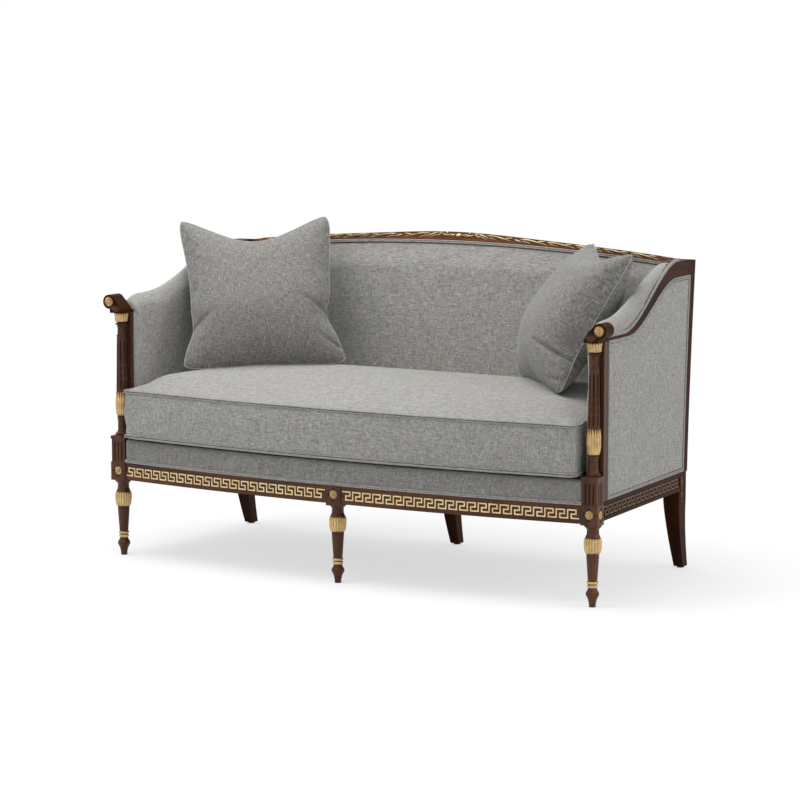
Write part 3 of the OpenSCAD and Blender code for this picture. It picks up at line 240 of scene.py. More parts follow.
def make_walnut(name, stretch, dark="#3a2012", light="#684028", gloss=0.2, coat=0.12):
    """Walnut with its grain along the axis whose stretch is smallest."""
    material, tree, shader = start_material(name)
    place = add_node(tree, "TexCoord", {}).outputs["Object"]
    bands = add_node(tree, "Mapping", {"Scale": [v * BANDS_PER_M for v in stretch], "Vector": place})
    pores = add_node(tree, "Mapping", {"Scale": [v * PORES_PER_M for v in stretch], "Vector": place})
    band_noise = add_node(tree, "TexNoise", {"Scale": 1.0, "Detail": 5.0, "Distortion": 0.6, "Vector": bands})
    pore_noise = add_node(tree, "TexNoise", {"Scale": 1.0, "Detail": 2.0, "Vector": pores})
    band_tone = add_node(tree, "ValToRGB", {"Fac": band_noise}, [(0.30, colour(dark)), (0.72, colour(light))])
    pore_tone = add_node(tree, "ValToRGB", {"Fac": pore_noise}, [(0.34, (0.55, 0.5, 0.46, 1)), (0.52, WHITE)])
    tint = add_node(tree, "Mix", {"data_type": "RGBA", "blend_type": "MULTIPLY", 0: 0.8,
                                  6: band_tone, 7: pore_tone})
    bump = add_node(tree, "Bump", {"Strength": 0.12, "Distance": 0.0006, "Height": pore_noise})
    give(tree, shader, {"Base Color": tint.outputs[2], "Normal": bump, "Roughness": 0.42,
                        "Specular IOR Level": gloss, "Coat Weight": coat, "Coat Roughness": 0.2})
    return material


walnut_upright = make_walnut("satin_walnut_upright", UPRIGHT_GRAIN)
walnut_rail = make_walnut("satin_walnut_rail", X_GRAIN)
# These two are the same walnut made darker, as painted shade, for the arms' sides and the rear legs.
walnut_side_painted_shade = make_walnut("satin_walnut_side", Y_GRAIN, *SHADED_WALNUT)
walnut_rear_painted_shade = make_walnut("satin_walnut_rear", UPRIGHT_GRAIN, *SHADED_WALNUT)
print("walnut finishes:", 4)

# %% [markdown]
# Antique gilding: gold leaf over carved wood, rubbed back and toned with brown glaze in the hollows.
# Leaf on wood is softer than cast metal, so the roughness stays near 0.4. A slow noise, in patches of
# some 17 mm, changes the tone as old glaze does, and a fine one of 1 mm gives the leaf's small waves.

# %% Gilding


def make_gilding(name, bright, dull):
    """Gold leaf between a bright and a dull tone."""
    material, tree, shader = start_material(name)
    place = add_node(tree, "TexCoord", {}).outputs["Object"]
    patches = add_node(tree, "TexNoise", {"Scale": 60.0, "Detail": 2.0, "Vector": place})
    tone = add_node(tree, "ValToRGB", {"Fac": patches}, [(0.25, colour(dull)), (0.65, colour(bright))])
    waves = add_node(tree, "TexNoise", {"Scale": 900.0, "Detail": 2.0, "Vector": place})
    bump = add_node(tree, "Bump", {"Strength": 0.1, "Distance": 0.0003, "Height": waves})
    rough = add_node(tree, "MapRange", {"To Min": 0.34, "To Max": 0.52, "Value": patches})
    give(tree, shader, {"Base Color": tone, "Roughness": rough, "Normal": bump, "Metallic": 0.6})
    return material


gilding = make_gilding("antique_gold_leaf", "#dcbc84", "#b49462")
# Brighter gold: painted light on the front key bands, which face the lamps. The crest's pearl takes it too.
gilding_burnished_and_lit = make_gilding("burnished_and_lit_gold_leaf", "#f2dcaa", "#d0b27a")
# Darker gold: painted shade on the side key bands. On the collar cores, rosette discs and bellflower drops it is
# simply a darker gold.
gilding_rubbed_and_shaded = make_gilding("rubbed_and_shaded_gold_leaf", "#705734", "#4a371f")
gilding_aged = make_gilding("aged_gold_leaf", "#ccb98c", "#8f7a50")
print("gold leaf finishes:", 4)

# %% [markdown]
# Upholstery: a plain-weave linen blend, with warp and weft of slightly different greys and thick
# slubs here and there. Real threads lie about 0.7 mm apart; they are drawn 0.85 mm apart, with slubs
# some 4 mm apart, so that the weave shows at the picture's size. Each thread direction fades where
# the cloth faces along it. The pillows lean, so their weave follows a map of their own flat cloth.

# %% Linen
THREAD_MM = 0.85


def make_linen(name, light, mid, dark, sewn=False):
    """Plain-weave cloth with slubs. A sewn piece carries its own map, other cloth uses the frame's axes."""
    material, tree, shader = start_material(name)
    place = add_node(tree, "TexCoord", {})
    where, along = place.outputs["Object"], [(0.12, 1, 1), (1, 0.12, 1), (1, 1, 0.12)]
    if sewn:
        where, along = add_node(tree, "UVMap", {"uv_map": "weave"}), along[:2]
    turns = add_node(tree, "SeparateXYZ", {0: place.outputs["Normal"]})
    total = 0.0
    for row, stretch in enumerate(along):
        mapped = add_node(tree, "Mapping", {"Scale": [v * 500 / THREAD_MM for v in stretch], "Vector": where})
        thread = add_node(tree, "TexNoise", {"Scale": 1.0, "Detail": 2.5, "Roughness": 0.62, "Vector": mapped})
        slub = add_node(tree, "TexNoise", {"Scale": 0.42, "Detail": 1.0, "Vector": mapped})
        both = add_node(tree, "Math", {"operation": "MULTIPLY_ADD", 0: slub, 1: 0.25, 2: thread})
        part = add_node(tree, "Math", {"operation": "SUBTRACT", 0: both, 1: 0.625})
        if not sewn:
            turned = add_node(tree, "Math", {"operation": "ABSOLUTE", 0: turns.outputs[row]})
            weight = add_node(tree, "Math", {"operation": "SUBTRACT", 0: 1.0, 1: turned})
            part = add_node(tree, "Math", {"operation": "MULTIPLY", 0: part, 1: weight})
        total = add_node(tree, "Math", {"operation": "ADD", 0: total, 1: part})
    spread = add_node(tree, "MapRange", {"From Min": -0.43, "From Max": 0.43, "Value": total})
    tone = add_node(tree, "ValToRGB", {"Fac": spread},
                    [(0.12, colour(dark)), (0.88, colour(light)), (0.5, colour(mid))])
    cloud = add_node(tree, "TexNoise", {"Scale": 9.0, "Detail": 3.0, "Vector": place.outputs["Object"]})
    shade = add_node(tree, "MapRange", {"To Min": 0.94, "To Max": 1.05, "Value": cloud})
    toned = add_node(tree, "VectorMath", {"operation": "SCALE", 0: tone, "Scale": shade})
    bump = add_node(tree, "Bump", {"Strength": 0.5, "Distance": 0.0007, "Height": spread})
    give(tree, shader, {"Base Color": toned, "Normal": bump, "Roughness": 0.92, "Sheen Weight": 0.25,
                        "Sheen Roughness": 0.5, "Specular IOR Level": 0.25})
    return material


linen = make_linen("grey_linen_weave", "#cccac5", "#a3a19b", "#72706b")
pillow_linen = make_linen("pillow_linen_weave", "#aeaca7", "#83817c", "#585652", sewn=True)
# The deck cloth is the same linen made darker: painted shade for the border under the cushion's overhang.
shaded_deck_linen = make_linen("deck_linen_weave", "#b4b2ad", "#8f8d88", "#62605b")
print("linen weaves:", 3)

# %% [markdown]
# The small materials: black nylon glides, zinc-plated steel wire, sawn beech, jute webbing, a dark grey
# that is painted shadow in seams and welt lines, and the black non-woven cloth under the seat. Each gets
# its own small pattern, in spots per metre: moulded grain 2.5 mm, saw marks 6 mm, web 2 mm and fibres 1 mm.

# %% Hidden materials
EVEN = (1, 1, 1)


def make_plain(name, first, second, per_metre, stretch, roughness, metallic=0.0):
    """A two-tone stretched noise, for surfaces with a simple grain."""
    material, tree, shader = start_material(name)
    place = add_node(tree, "TexCoord", {}).outputs["Object"]
    mapped = add_node(tree, "Mapping", {"Scale": [v * per_metre for v in stretch], "Vector": place})
    grain = add_node(tree, "TexNoise", {"Scale": 1.0, "Detail": 3.0, "Vector": mapped})
    tone = add_node(tree, "ValToRGB", {"Fac": grain}, [(0.3, colour(first)), (0.7, colour(second))])
    bump = add_node(tree, "Bump", {"Strength": 0.3, "Distance": 0.0003, "Height": grain})
    give(tree, shader, {"Base Color": tone, "Normal": bump, "Roughness": roughness, "Metallic": metallic})
    return material


nylon = make_plain("black_moulded_nylon", "#151312", "#22201e", 400, EVEN, 0.5)
steel_wire = make_plain("zinc_plated_steel", "#7d8083", "#a3a6a8", 300, EVEN, 0.35, 1.0)
sawn_beech = make_plain("sawn_beech", "#b48a5e", "#d0ab80", 160, (1, 1, 0.06), 0.75)
jute_web = make_plain("jute_webbing", "#7d6848", "#a8926c", 500, (1, 1, 0.2), 0.95)
# Dark grey for painted shadow: the line in the cushion seams and in the groove of each arm panel welt.
painted_seam_shadow = make_plain("shaded_seam_thread", "#454441", "#575653", 400, EVEN, 0.95)
black_cambric = make_plain("black_cambric", "#0f0f10", "#1d1d1f", 900, EVEN, 0.95)
print("hidden materials:", 6)

# %% [markdown]
# The frame's own nodes keep their shapes and only change their finish. Grain follows the board: up
# the legs and columns, along X in the long rails, and along Y in the sides.

# %% Finish the frame's nodes
by_slot = {"antique_gilt": gilding, "steel": steel_wire, "black_nylon": nylon, "beech": sawn_beech,
           "jute": jute_web, "black_cloth": black_cambric, "grey_linen": linen, "deck_cloth": linen,
           "pillow_linen": pillow_linen, "walnut": walnut_upright}
slot_of = {entry["node"]: entry["material_slot"] for entry in frame["record"]["subparts"]}
along_x = ("front_seat_rail", "back_seat_rail", "crest_rail")
along_y = ("side_seat_rail", "arm_rail", "arm_scroll")
for name, node_object in nodes.items():
    finish = by_slot[slot_of[name]]
    if name.startswith(along_x):
        finish = walnut_rail
    # The sides and the rear legs take the walnut with painted shade.
    elif name.startswith(along_y):
        finish = walnut_side_painted_shade
    elif name.startswith("rear_leg") and name != "rear_leg_drops":
        finish = walnut_rear_painted_shade
    # The key bands take painted shade on the sides and painted light on the front.
    elif name.startswith("key_band_side"):
        finish = gilding_rubbed_and_shaded
    elif name.startswith("key_band_front"):
        finish = gilding_burnished_and_lit
    node_object.data.materials.clear()
    node_object.data.materials.append(finish)
print("finished nodes:", len(nodes))

# %% [markdown]
# The soft pieces follow lines that the maker of the frame also used: the bow of the front rail, the
# rake of the posts, the sweep of the arms and the arch of the crest. They are written once here, in
# millimetres from the front leg axes, so that every pad and welt meets its wood.

# %% Lines of the frame
ARM_X, BLOCK_BACK, SIDE_ANGLE = 762.0, 13.5, math.atan2(30.0, 578.5)
ARM_LENGTH, ARM_FRONT, ARM_TOP, ARM_DEPTH = 583.5, 698.0, 858.53, 42.0
DECK_TOP, WELT, POST_D = 333.0, 4.6, 40.0
POST_BACK, POST_TOP = 637.0, 855.0
RAKE, RAKE_FROM, RAKE_POWER = 38.0, 276.0, 1.35
RAKE_RISE = POST_TOP - RAKE_FROM
RAKE_TOP = math.atan(RAKE * RAKE_POWER / RAKE_RISE)
RAIL_FACE, BOW, BOW_HALF = 71.5, 50.0, 715.5
BOW_RADIUS = (BOW_HALF ** 2 + BOW ** 2) / (2 * BOW)
CREST_HALF, CREST_RISE = 684.0, 37.0
CREST_RADIUS = (CREST_HALF ** 2 + CREST_RISE ** 2) / (2 * CREST_RISE)


def ease(t):
    """A smooth step from 0 to 1."""
    t = min(1.0, max(0.0, t))
    return t * t * (3 - 2 * t)


def steps(first, last, count):
    """Evenly spaced values from first to last."""
    return [first + (last - first) * i / count for i in range(count + 1)]


def bow_y(x, out=0.0):
    """The front rail's face, or a line that runs outside it."""
    return BOW_RADIUS - RAIL_FACE - math.sqrt((BOW_RADIUS + out) ** 2 - x * x)


def post_back(z):
    """The back face of the raked posts."""
    return POST_BACK - RAKE + RAKE * (max(0.0, z - RAKE_FROM) / RAKE_RISE) ** RAKE_POWER


def arm_upper(y):
    """Top edge of the arm's show wood."""
    return ARM_FRONT + (ARM_TOP - ARM_FRONT) * ease((y - 128) / 383.5)


def arm_lower(y):
    """Lower edge of the arm's show wood, which is thin in front."""
    front = ARM_FRONT - 7
    return front + (ARM_TOP - ARM_DEPTH - front) * ease((y - 158) / 333.5)


def crest_arch(x, out=0.0):
    """The arched top edge of the crest, above the posts."""
    return math.sqrt((CREST_RADIUS + out) ** 2 - x * x) - CREST_RADIUS + CREST_RISE


def on_side(hand, x, y, z):
    """A point of the arm's frame: x outwards, y along the arm. The hand is 1 right and -1 left."""
    c, s = math.cos(SIDE_ANGLE), math.sin(SIDE_ANGLE)
    return at(hand * (ARM_X + x * c - y * s), BLOCK_BACK + x * s + y * c, z)


def on_crest(x, y, z):
    """A point of the crest's raked frame, from the posts' back top edge."""
    c, s = math.cos(RAKE_TOP), math.sin(RAKE_TOP)
    return at(x, POST_BACK + y * c + z * s, POST_TOP - y * s + z * c)


print("rake", round(math.degrees(RAKE_TOP), 2), "side angle", round(math.degrees(SIDE_ANGLE), 2))

# %% [markdown]
# Upholstery starts as a grid of points over the stretch of cloth that it covers. One helper lays such
# a grid from a rule that gives each point's place, and one merges grids that share a seam. Edit mode
# is opened in one place, on all of a piece or on the points or faces that a rule chooses.

# %% Helpers for soft pieces


def only(*pieces):
    """Selects these pieces alone and makes the first one active."""
    bpy.ops.object.select_all(action="DESELECT")
    for piece in pieces:
        piece.select_set(True)
    bpy.context.view_layer.objects.active = pieces[0]


@contextmanager
def editing(piece, points=None, faces=None):
    """Edit mode on one piece, with all of it selected, or the points or faces that a rule chooses."""
    only(piece)
    chosen = points or faces
    bpy.ops.object.mode_set(mode="EDIT")
    bpy.ops.mesh.select_all(action="DESELECT" if chosen else "SELECT")
    if chosen:
        bpy.ops.object.mode_set(mode="OBJECT")
        for part in piece.data.vertices if points else piece.data.polygons:
            part.select = chosen(part)
        bpy.ops.object.mode_set(mode="EDIT")
    yield
    bpy.ops.object.mode_set(mode="OBJECT")


def change(piece, kind, **settings):
    """Adds a modifier with its settings and applies it."""
    modifier = piece.modifiers.new(kind.lower(), kind)
    for name, value in settings.items():
        setattr(modifier, name, value)
    only(piece)
    bpy.ops.object.modifier_apply(modifier=modifier.name)


def lay_grid(name, across, up, rule, flip=False):
    """A mesh of across by up faces, with its points given by rule(u, v) for u and v from -1 to 1."""
    points = [rule(2 * i / across - 1, 2 * j / up - 1) for i in range(across + 1) for j in range(up + 1)]
    faces = []
    for i in range(across):
        for j in range(up):
            a, b = i * (up + 1) + j, (i + 1) * (up + 1) + j
            faces.append((a, a + 1, b + 1, b) if flip else (a, b, b + 1, a + 1))
    mesh = bpy.data.meshes.new(name)
    mesh.from_pydata(points, [], faces)
    piece = bpy.data.objects.new(name, mesh)
    scene.collection.objects.link(piece)
    return piece


def joined(name, pieces):
    """Joins pieces into the first one."""
    only(*pieces)
    if len(pieces) > 1:
        bpy.ops.object.join()
    pieces[0].name = name
    return pieces[0]


def join_shells(name, shells, gap):
    """Joins shells, merges the points they share and turns the faces outwards."""
    piece = joined(name, shells)
    with editing(piece):
        bpy.ops.mesh.remove_doubles(threshold=gap)
        bpy.ops.mesh.normals_make_consistent(inside=False)
    if sum(face.center.dot(face.normal) * face.area for face in piece.data.polygons) < 0:
        with editing(piece):
            bpy.ops.mesh.flip_normals()
    return piece


def own_copy(node, name):
    """A free copy of a node, with its loose triangles merged."""
    piece = nodes[node].copy()
    piece.data = nodes[node].data.copy()
    piece.parent = None
    for key in list(piece.keys()):
        del piece[key]
    piece.name = name
    scene.collection.objects.link(piece)
    with editing(piece):
        bpy.ops.mesh.remove_doubles(threshold=0.00002)
    return piece


def take_cloth(piece, cloth):
    """Gives a piece one material and smooth shading."""
    piece.data.materials.clear()
    piece.data.materials.append(cloth)
    only(piece)
    bpy.ops.object.shade_smooth()
    return piece


def push(piece, rule):
    """Moves each point along its normal by rule(place, normal) metres."""
    normals = [v.normal.copy() for v in piece.data.vertices]
    for v, normal in zip(piece.data.vertices, normals):
        v.co += normal * rule(v.co, normal)


def mesh_evenly(piece, size, rounds):
    """Turns a solid into an even skin of small faces, with its edges softened."""
    change(piece, "REMESH", mode="VOXEL", voxel_size=size)
    change(piece, "SMOOTH", iterations=rounds)


def refine(piece):
    """Smooths the piece with one round of subdivision."""
    change(piece, "SUBSURF", levels=1, render_levels=1)


def key_of(p):
    """A point's place, rounded so that it can be looked up."""
    return tuple(round(c, 5) for c in p)


print("helpers ready")

# %% [markdown]
# Stuffed pieces get their tension from a cloth simulation: the cover is a closed skin with air pressure
# inside, without gravity. Points on seams and on hidden sides are pinned, so they stay on the frame.
# No point may move further than a cap, which keeps the piece inside its place.

# %% Fill with pressure
STIFFNESS = 15.0


def fill(piece, pressure, cap, pinned, slack=0.0, frames=20):
    """Inflates a cover from the inside and applies the result. pinned(place) gives each point's pin weight."""
    start = [v.co.copy() for v in piece.data.vertices]
    group = piece.vertex_groups.new(name="pinned")
    for v in piece.data.vertices:
        weight = pinned(v.co)
        if weight > 0:
            group.add([v.index], weight, "REPLACE")
    cloth = piece.modifiers.new("pressure", "CLOTH")
    setup = cloth.settings
    setup.quality = 4
    setup.mass = 0.25
    setup.tension_stiffness = STIFFNESS
    setup.compression_stiffness = STIFFNESS
    setup.shear_stiffness = STIFFNESS / 2
    setup.bending_stiffness = 0.8
    setup.use_pressure = True
    setup.uniform_pressure_force = pressure
    setup.shrink_min = -slack
    setup.effector_weights.gravity = 0
    setup.vertex_group_mass = "pinned"
    cloth.point_cache.frame_start, cloth.point_cache.frame_end = 1, frames
    for frame_number in range(1, frames + 1):
        scene.frame_set(frame_number)
    only(piece)
    bpy.ops.object.modifier_apply(modifier="pressure")
    furthest = 0.0
    for v, before in zip(piece.data.vertices, start):
        move = v.co - before
        if move.length > cap:
            v.co = before + move * (cap / move.length)
        furthest = max(furthest, min(move.length, cap))
    piece.vertex_groups.clear()
    scene.frame_set(1)
    print(piece.name, "points", len(start), "moved up to", round(furthest * 1000, 1), "mm")


print("fill ready")

# %% [markdown]
# A welt is a cord covered with bias-cut linen. A double welt is two of them side by side, and it hides
# the tacks where cloth meets wood. Each one is a curve with a round bevel that is turned into a mesh.

# %% Piping


def piping(name, runs, radius, cloth, closed=False, sides=3, swell=None):
    """Round cords along runs of points, joined into one piece. swell(t) thins them along their length."""
    curve = bpy.data.curves.new(name, "CURVE")
    curve.dimensions = "3D"
    curve.bevel_depth = radius
    curve.bevel_resolution = sides
    curve.use_fill_caps = True
    for run in runs:
        spline = curve.splines.new("POLY")
        spline.points.add(len(run) - 1)
        for number, (point, place) in enumerate(zip(spline.points, run)):
            point.co = (*place, 1)
            point.radius = swell(number / (len(run) - 1)) if swell else 1.0
        spline.use_cyclic_u = closed
    piece = bpy.data.objects.new(name, curve)
    scene.collection.objects.link(piece)
    only(piece)
    bpy.ops.object.convert(target="MESH")
    return take_cloth(bpy.context.active_object, cloth)


print("piping ready")

# %% [markdown]
# The seat cushion is a boxed cushion: a crowned top panel, a band round its side and a bottom panel,
# sewn with plain seams. Its two seams are pinned and the panels swell between them. It rests flat on
# the deck. The first shape is the frame's cushion, made a little smaller and meshed evenly.

# %% Seat cushion
cushion = own_copy("seat_cushion", "seat_cushion_linen")
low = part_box("seat_cushion")[0]
SEAM_TOP, SEAM_LOW = 0.4735, 0.3475
SEAM_STEP = 0.006


def ring_at(piece, height):
    """The piece's points at one height, in order round its middle."""
    ring = [v.co.copy() for v in piece.data.vertices if abs(v.co.z - height) < 0.0003]
    middle = sum(ring, Vector()) / len(ring)
    return sorted(ring, key=lambda p: math.atan2(p.y - middle.y, p.x - middle.x))


def even_run(points, step, closed=True):
    """Points at an even step along a smooth line through the given points."""
    n = len(points)
    smooth_run = []
    for i in range(n if closed else n - 1):
        p0 = points[(i - 1) % n] if closed or i > 0 else points[i]
        p1, p2 = points[i], points[(i + 1) % n]
        p3 = points[(i + 2) % n] if closed or i + 2 < n else p2
        for k in range(8):
            t = k / 8
            smooth_run.append(0.5 * ((2 * p1) + (p2 - p0) * t + (2 * p0 - 5 * p1 + 4 * p2 - p3) * t * t
                                     + (3 * p1 - p0 - 3 * p2 + p3) * t ** 3))
    smooth_run.append(smooth_run[0].copy() if closed else points[-1].copy())
    lengths = [0.0]
    for a, b in zip(smooth_run, smooth_run[1:]):
        lengths.append(lengths[-1] + (b - a).length)
    count = max(4, round(lengths[-1] / step))
    even, k = [], 0
    for i in range(count if closed else count + 1):
        want = lengths[-1] * i / count
        while k < len(lengths) - 2 and lengths[k + 1] < want:
            k += 1
        span = lengths[k + 1] - lengths[k]
        even.append(smooth_run[k].lerp(smooth_run[k + 1], (want - lengths[k]) / span if span else 0))
    return even


def from_seam(p):
    """The height between a point and the nearer seam."""
    return min(abs(p.z - SEAM_TOP), abs(p.z - SEAM_LOW))


def reach_corner(p):
    """The way a point near a front corner stands out in front of its arm column."""
    near_corner = ease((abs(p.x) - 0.62) / 0.08) * ease((LEG_Y - 0.014 - p.y) / 0.03)
    height = min(1.0, max(0.0, (p.z - SEAM_LOW) / (SEAM_TOP - SEAM_LOW)))
    swell = 0.010 * math.sin(math.pi * height) * ease((LEG_Y - 0.022 - p.y) / 0.015)
    return Vector((math.copysign(0.009 + swell, p.x), -0.006, 0)) * near_corner


seam_top = even_run(ring_at(cushion, SEAM_TOP), SEAM_STEP)
seam_low = even_run(ring_at(cushion, SEAM_LOW), SEAM_STEP)
mesh_evenly(cushion, 0.01, 3)
push(cushion, lambda p, normal: -0.007 * ease(from_seam(p) / 0.03))
fill(cushion, 4.0, 0.016, lambda p: 1.0 if from_seam(p) < 0.0065 or p.z < low.z + 0.004 else 0.0)
for v in cushion.data.vertices:
    v.co.z = max(v.co.z, low.z)
refine(cushion)
outward = [Vector((v.normal.x, v.normal.y, 0)) for v in cushion.data.vertices]
for v, normal in zip(cushion.data.vertices, outward):
    under = (v.co.z - low.z) / (SEAM_LOW - low.z)
    if 0 < under < 1:
        v.co += normal * 0.005 * math.sin(math.pi * under) ** 0.6
    v.co += reach_corner(v.co)
for p in seam_top + seam_low:
    p += reach_corner(p)
take_cloth(cushion, linen)
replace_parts(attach(cushion, "cushion"), "seat_cushion")
print("cushion:", len(cushion.data.polygons), "faces,", [round(v, 3) for v in cushion.dimensions])

# %% [markdown]
# Each plain seam draws the two panels together in two low rolls with a fine dark line between them.
# The rolls are piped along the seam lines, half sunk in the cushion, with a dark cord of painted shadow between.

# %% Cushion seams
seams = [seam + seam[:1] for seam in (seam_top, seam_low)]
rolls = [[p + Vector((0, 0, dz)) for p in seam] for seam in seams for dz in (-0.0024, 0.0024)]
cushion_seams = piping("cushion_seams", rolls, 0.0019, linen)
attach(cushion_seams, "cushion")
# A thin dark cord between the rolls is the painted shadow of the seam.
cushion_shadow_cord = piping("cushion_seam_thread", seams, 0.0013, painted_seam_shadow)
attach(cushion_shadow_cord, "cushion")
print("seam length", round(sum((b - a).length for a, b in zip(seam_top, seam_top[1:])), 2), "m")

# %% [markdown]
# A throw pillow is two squares sewn edge to edge and filled with feathers. Its sides draw in, its
# corners stand out as blunt ears, and where it stands on the seat the lower part sags and folds. It is
# two grids that share the seam, filled with pressure while the seam is held, then laid in its corner.

# %% Throw pillows
PILLOW_T, PILLOW_SHAPE, SEAT_TOP = 156.0, 0.972, 527.5
FRONT, REAR = -1, 1


def pillow_place(hand, width, yaw, lean, over, back, rest, roll=0.0):
    """The place of a pillow that leans in a back corner, with its angles in degrees."""
    height = width * PILLOW_SHAPE
    yaw, lean, roll = math.radians(yaw), math.radians(lean), math.radians(roll)
    half_x = width / 2 * math.cos(yaw) + height / 2 * math.sin(lean) * math.sin(yaw)
    half_y = width / 2 * math.sin(yaw) + height / 2 * math.sin(lean) * math.cos(yaw)
    middle = at(740 + over - half_x, POST_BACK - POST_D - back - half_y,
                SEAT_TOP + rest + height / 2 * math.cos(lean))
    place = Matrix.Translation(middle)
    for angle, axis in ((-yaw, "Z"), (-lean, "X"), (roll, "Y")):
        place = place @ Matrix.Rotation(angle, 4, axis)
    return Matrix.Diagonal((hand, 1, 1, 1)) @ place


def pillow_outline(u, v, width, top):
    """A point of the flat outline: sides drawn in most low down, a dipped top edge and blunt ears.
    The top gives how far the ears stand up, how far the edge dips and how blunt the ears are."""
    ears, dip, cut = top if v > 0 else (0.0, 0.05, 0.08)
    outer = u > 0
    notch = (0.045 if outer else 0.07) * math.exp(-((v + (0.47 if outer else 0.33)) / 0.2) ** 2)
    drawn = (0.19 if outer else 0.12) * (1 - v * v) ** 0.8 + notch
    foot = (0.01 if outer else 0.10) * max(0.0, -v) ** 3
    blunt = 1 - cut * (abs(u) * abs(v)) ** 7
    x = width / 2 * u * (1 - drawn * u * u + foot) * blunt
    z = width * PILLOW_SHAPE / 2 * v * (1 + ears * v * v - dip * (1 - (u * u + 0.02) ** 0.62) * v * v) * blunt
    return x / 1000, z / 1000


def pillow_depth(u, v, side, belly):
    """Half the filling's depth. The belly gives the front's extra fullness, its height and its reach."""
    more, middle, reach = belly
    along = (1 - v ** 4) ** 0.7 if side == FRONT and (v < 0 or reach > 0.5) else (1 - v * v) ** 0.58
    if side == FRONT:
        along *= 1 + more * math.exp(-((v - middle) / reach) ** 2)
    pinch = 1 - 0.3 * math.exp(-((v + 0.42) / 0.13) ** 2) * abs(u) ** 5
    return 0.9 * PILLOW_T / 2000 * (1 - u * u) ** 0.52 * along * pinch


def press_folds(pillow, folds):
    """Presses creases in: each runs from a to b, with its depth, width and side, and gets shallower."""
    for ax, az, bx, bz, depth, wide, side in folds:
        a, b = Vector((ax, az)), Vector((bx, bz))
        for v in pillow.data.vertices:
            p = Vector((v.co.x, v.co.z))
            t = max(0.0, min(1.0, (p - a).dot(b - a) / (b - a).length_squared))
            gap = (p - a.lerp(b, t)).length
            if v.co.y * side > 0.003 and gap < wide * 3:
                v.co.y -= side * depth * math.exp(-(gap / wide) ** 2) * (1 - 0.75 * t)


def make_pillow(name, width, place, folds, seed, belly, top):
    """A filled pillow in its place, and its seam line."""
    def shell(side):
        def rule(u, v):
            u, v = math.sin(math.pi / 2 * u), math.sin(math.pi / 2 * v)
            x, z = pillow_outline(u, v, width, top)
            depth = pillow_depth(u, v, side, belly)
            ripple = noise.noise(Vector((x * 9 + seed, side * 3.0, z * 9))) * 0.004
            return (x, side * (depth + ripple * min(1, depth / 0.02)), z)
        return lay_grid(name + "_half", 72, 72, rule)
    pillow = join_shells(name, [shell(FRONT), shell(REAR)], 0.00004)
    rim = {key_of(v.co) for v in pillow.data.vertices if abs(v.co.y) < 0.0004}
    fill(pillow, 3.5, 0.02, lambda p: 1.0 if key_of(p) in rim else 0.0, slack=0.008)
    refine(pillow)
    press_folds(pillow, folds)
    seam = []
    for k in range(4 * 60):
        t = math.sin(math.pi / 2 * ((k % 60) / 30 - 1))
        u, v = ((t, 1), (1, -t), (-t, -1), (-1, t))[k // 60]
        x, z = pillow_outline(u, v, width, top)
        seam.append(place @ Vector((x, 0, z)))
    weave = pillow.data.uv_layers.new(name="weave")
    for loop in pillow.data.loops:
        p = pillow.data.vertices[loop.vertex_index].co
        weave.data[loop.index].uv = (p.x, p.z)
    pillow.data.transform(place)
    join_shells(name, [pillow], 0.00001)
    return pillow, seam


left_folds = [(0.196, -0.108, 0.120, -0.070, 0.013, 0.006, FRONT),
              (-0.200, -0.076, -0.115, -0.036, 0.013, 0.006, FRONT),
              (-0.222, -0.178, -0.165, -0.146, 0.009, 0.006, FRONT)]
left_pillow, left_seam = make_pillow(
    "left_throw_pillow", 470, pillow_place(-1, 470, 34, 30, 6, 56, 0.7, 2.0), left_folds, 1.0,
    belly=(0.3, -0.25, 0.36), top=(0.15, 0.48, 0.11))
right_folds = [(0.200, -0.122, 0.075, -0.112, 0.026, 0.0055, FRONT),
               (0.215, -0.175, 0.160, -0.185, 0.008, 0.005, FRONT),
               (0.186, -0.100, 0.080, -0.125, 0.014, 0.007, REAR)]
right_pillow, right_seam = make_pillow(
    "right_throw_pillow", 441.8, pillow_place(1, 441.8, 47.5, 29, 0, 18, -0.2), right_folds, 5.0,
    belly=(0.6, -0.2, 0.8), top=(0.05, 0.37, 0.14))
for hand, pillow, seam in (("left", left_pillow, left_seam), ("right", right_pillow, right_seam)):
    take_cloth(pillow, pillow_linen)
    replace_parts(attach(pillow, "pillow_" + hand), "throw_pillow_" + hand)
    stitched = piping(hand + "_pillow_seam", [seam + seam[:1]], 0.0016, linen)
    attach(stitched, "pillow_" + hand)
    print(pillow.name, len(pillow.data.polygons), [round(v, 3) for v in pillow.dimensions])

# %% [markdown]
# The inside back is a thin pad on webbing, pulled to the posts, the crest and the seat. It is one
# crowned panel whose border rolls back to the frame, pinned there and swelled by a little pressure.

# %% Inside back pad


def pad_wall(z):
    """The line that the back padding lies on."""
    return post_back(z) - POST_D / math.cos(RAKE_TOP) - 0.3


BACK_HALF = ARM_X - 61 / math.cos(SIDE_ANGLE) - ARM_LENGTH * math.tan(SIDE_ANGLE) + 10
BACK_LOW = DECK_TOP + 0.3


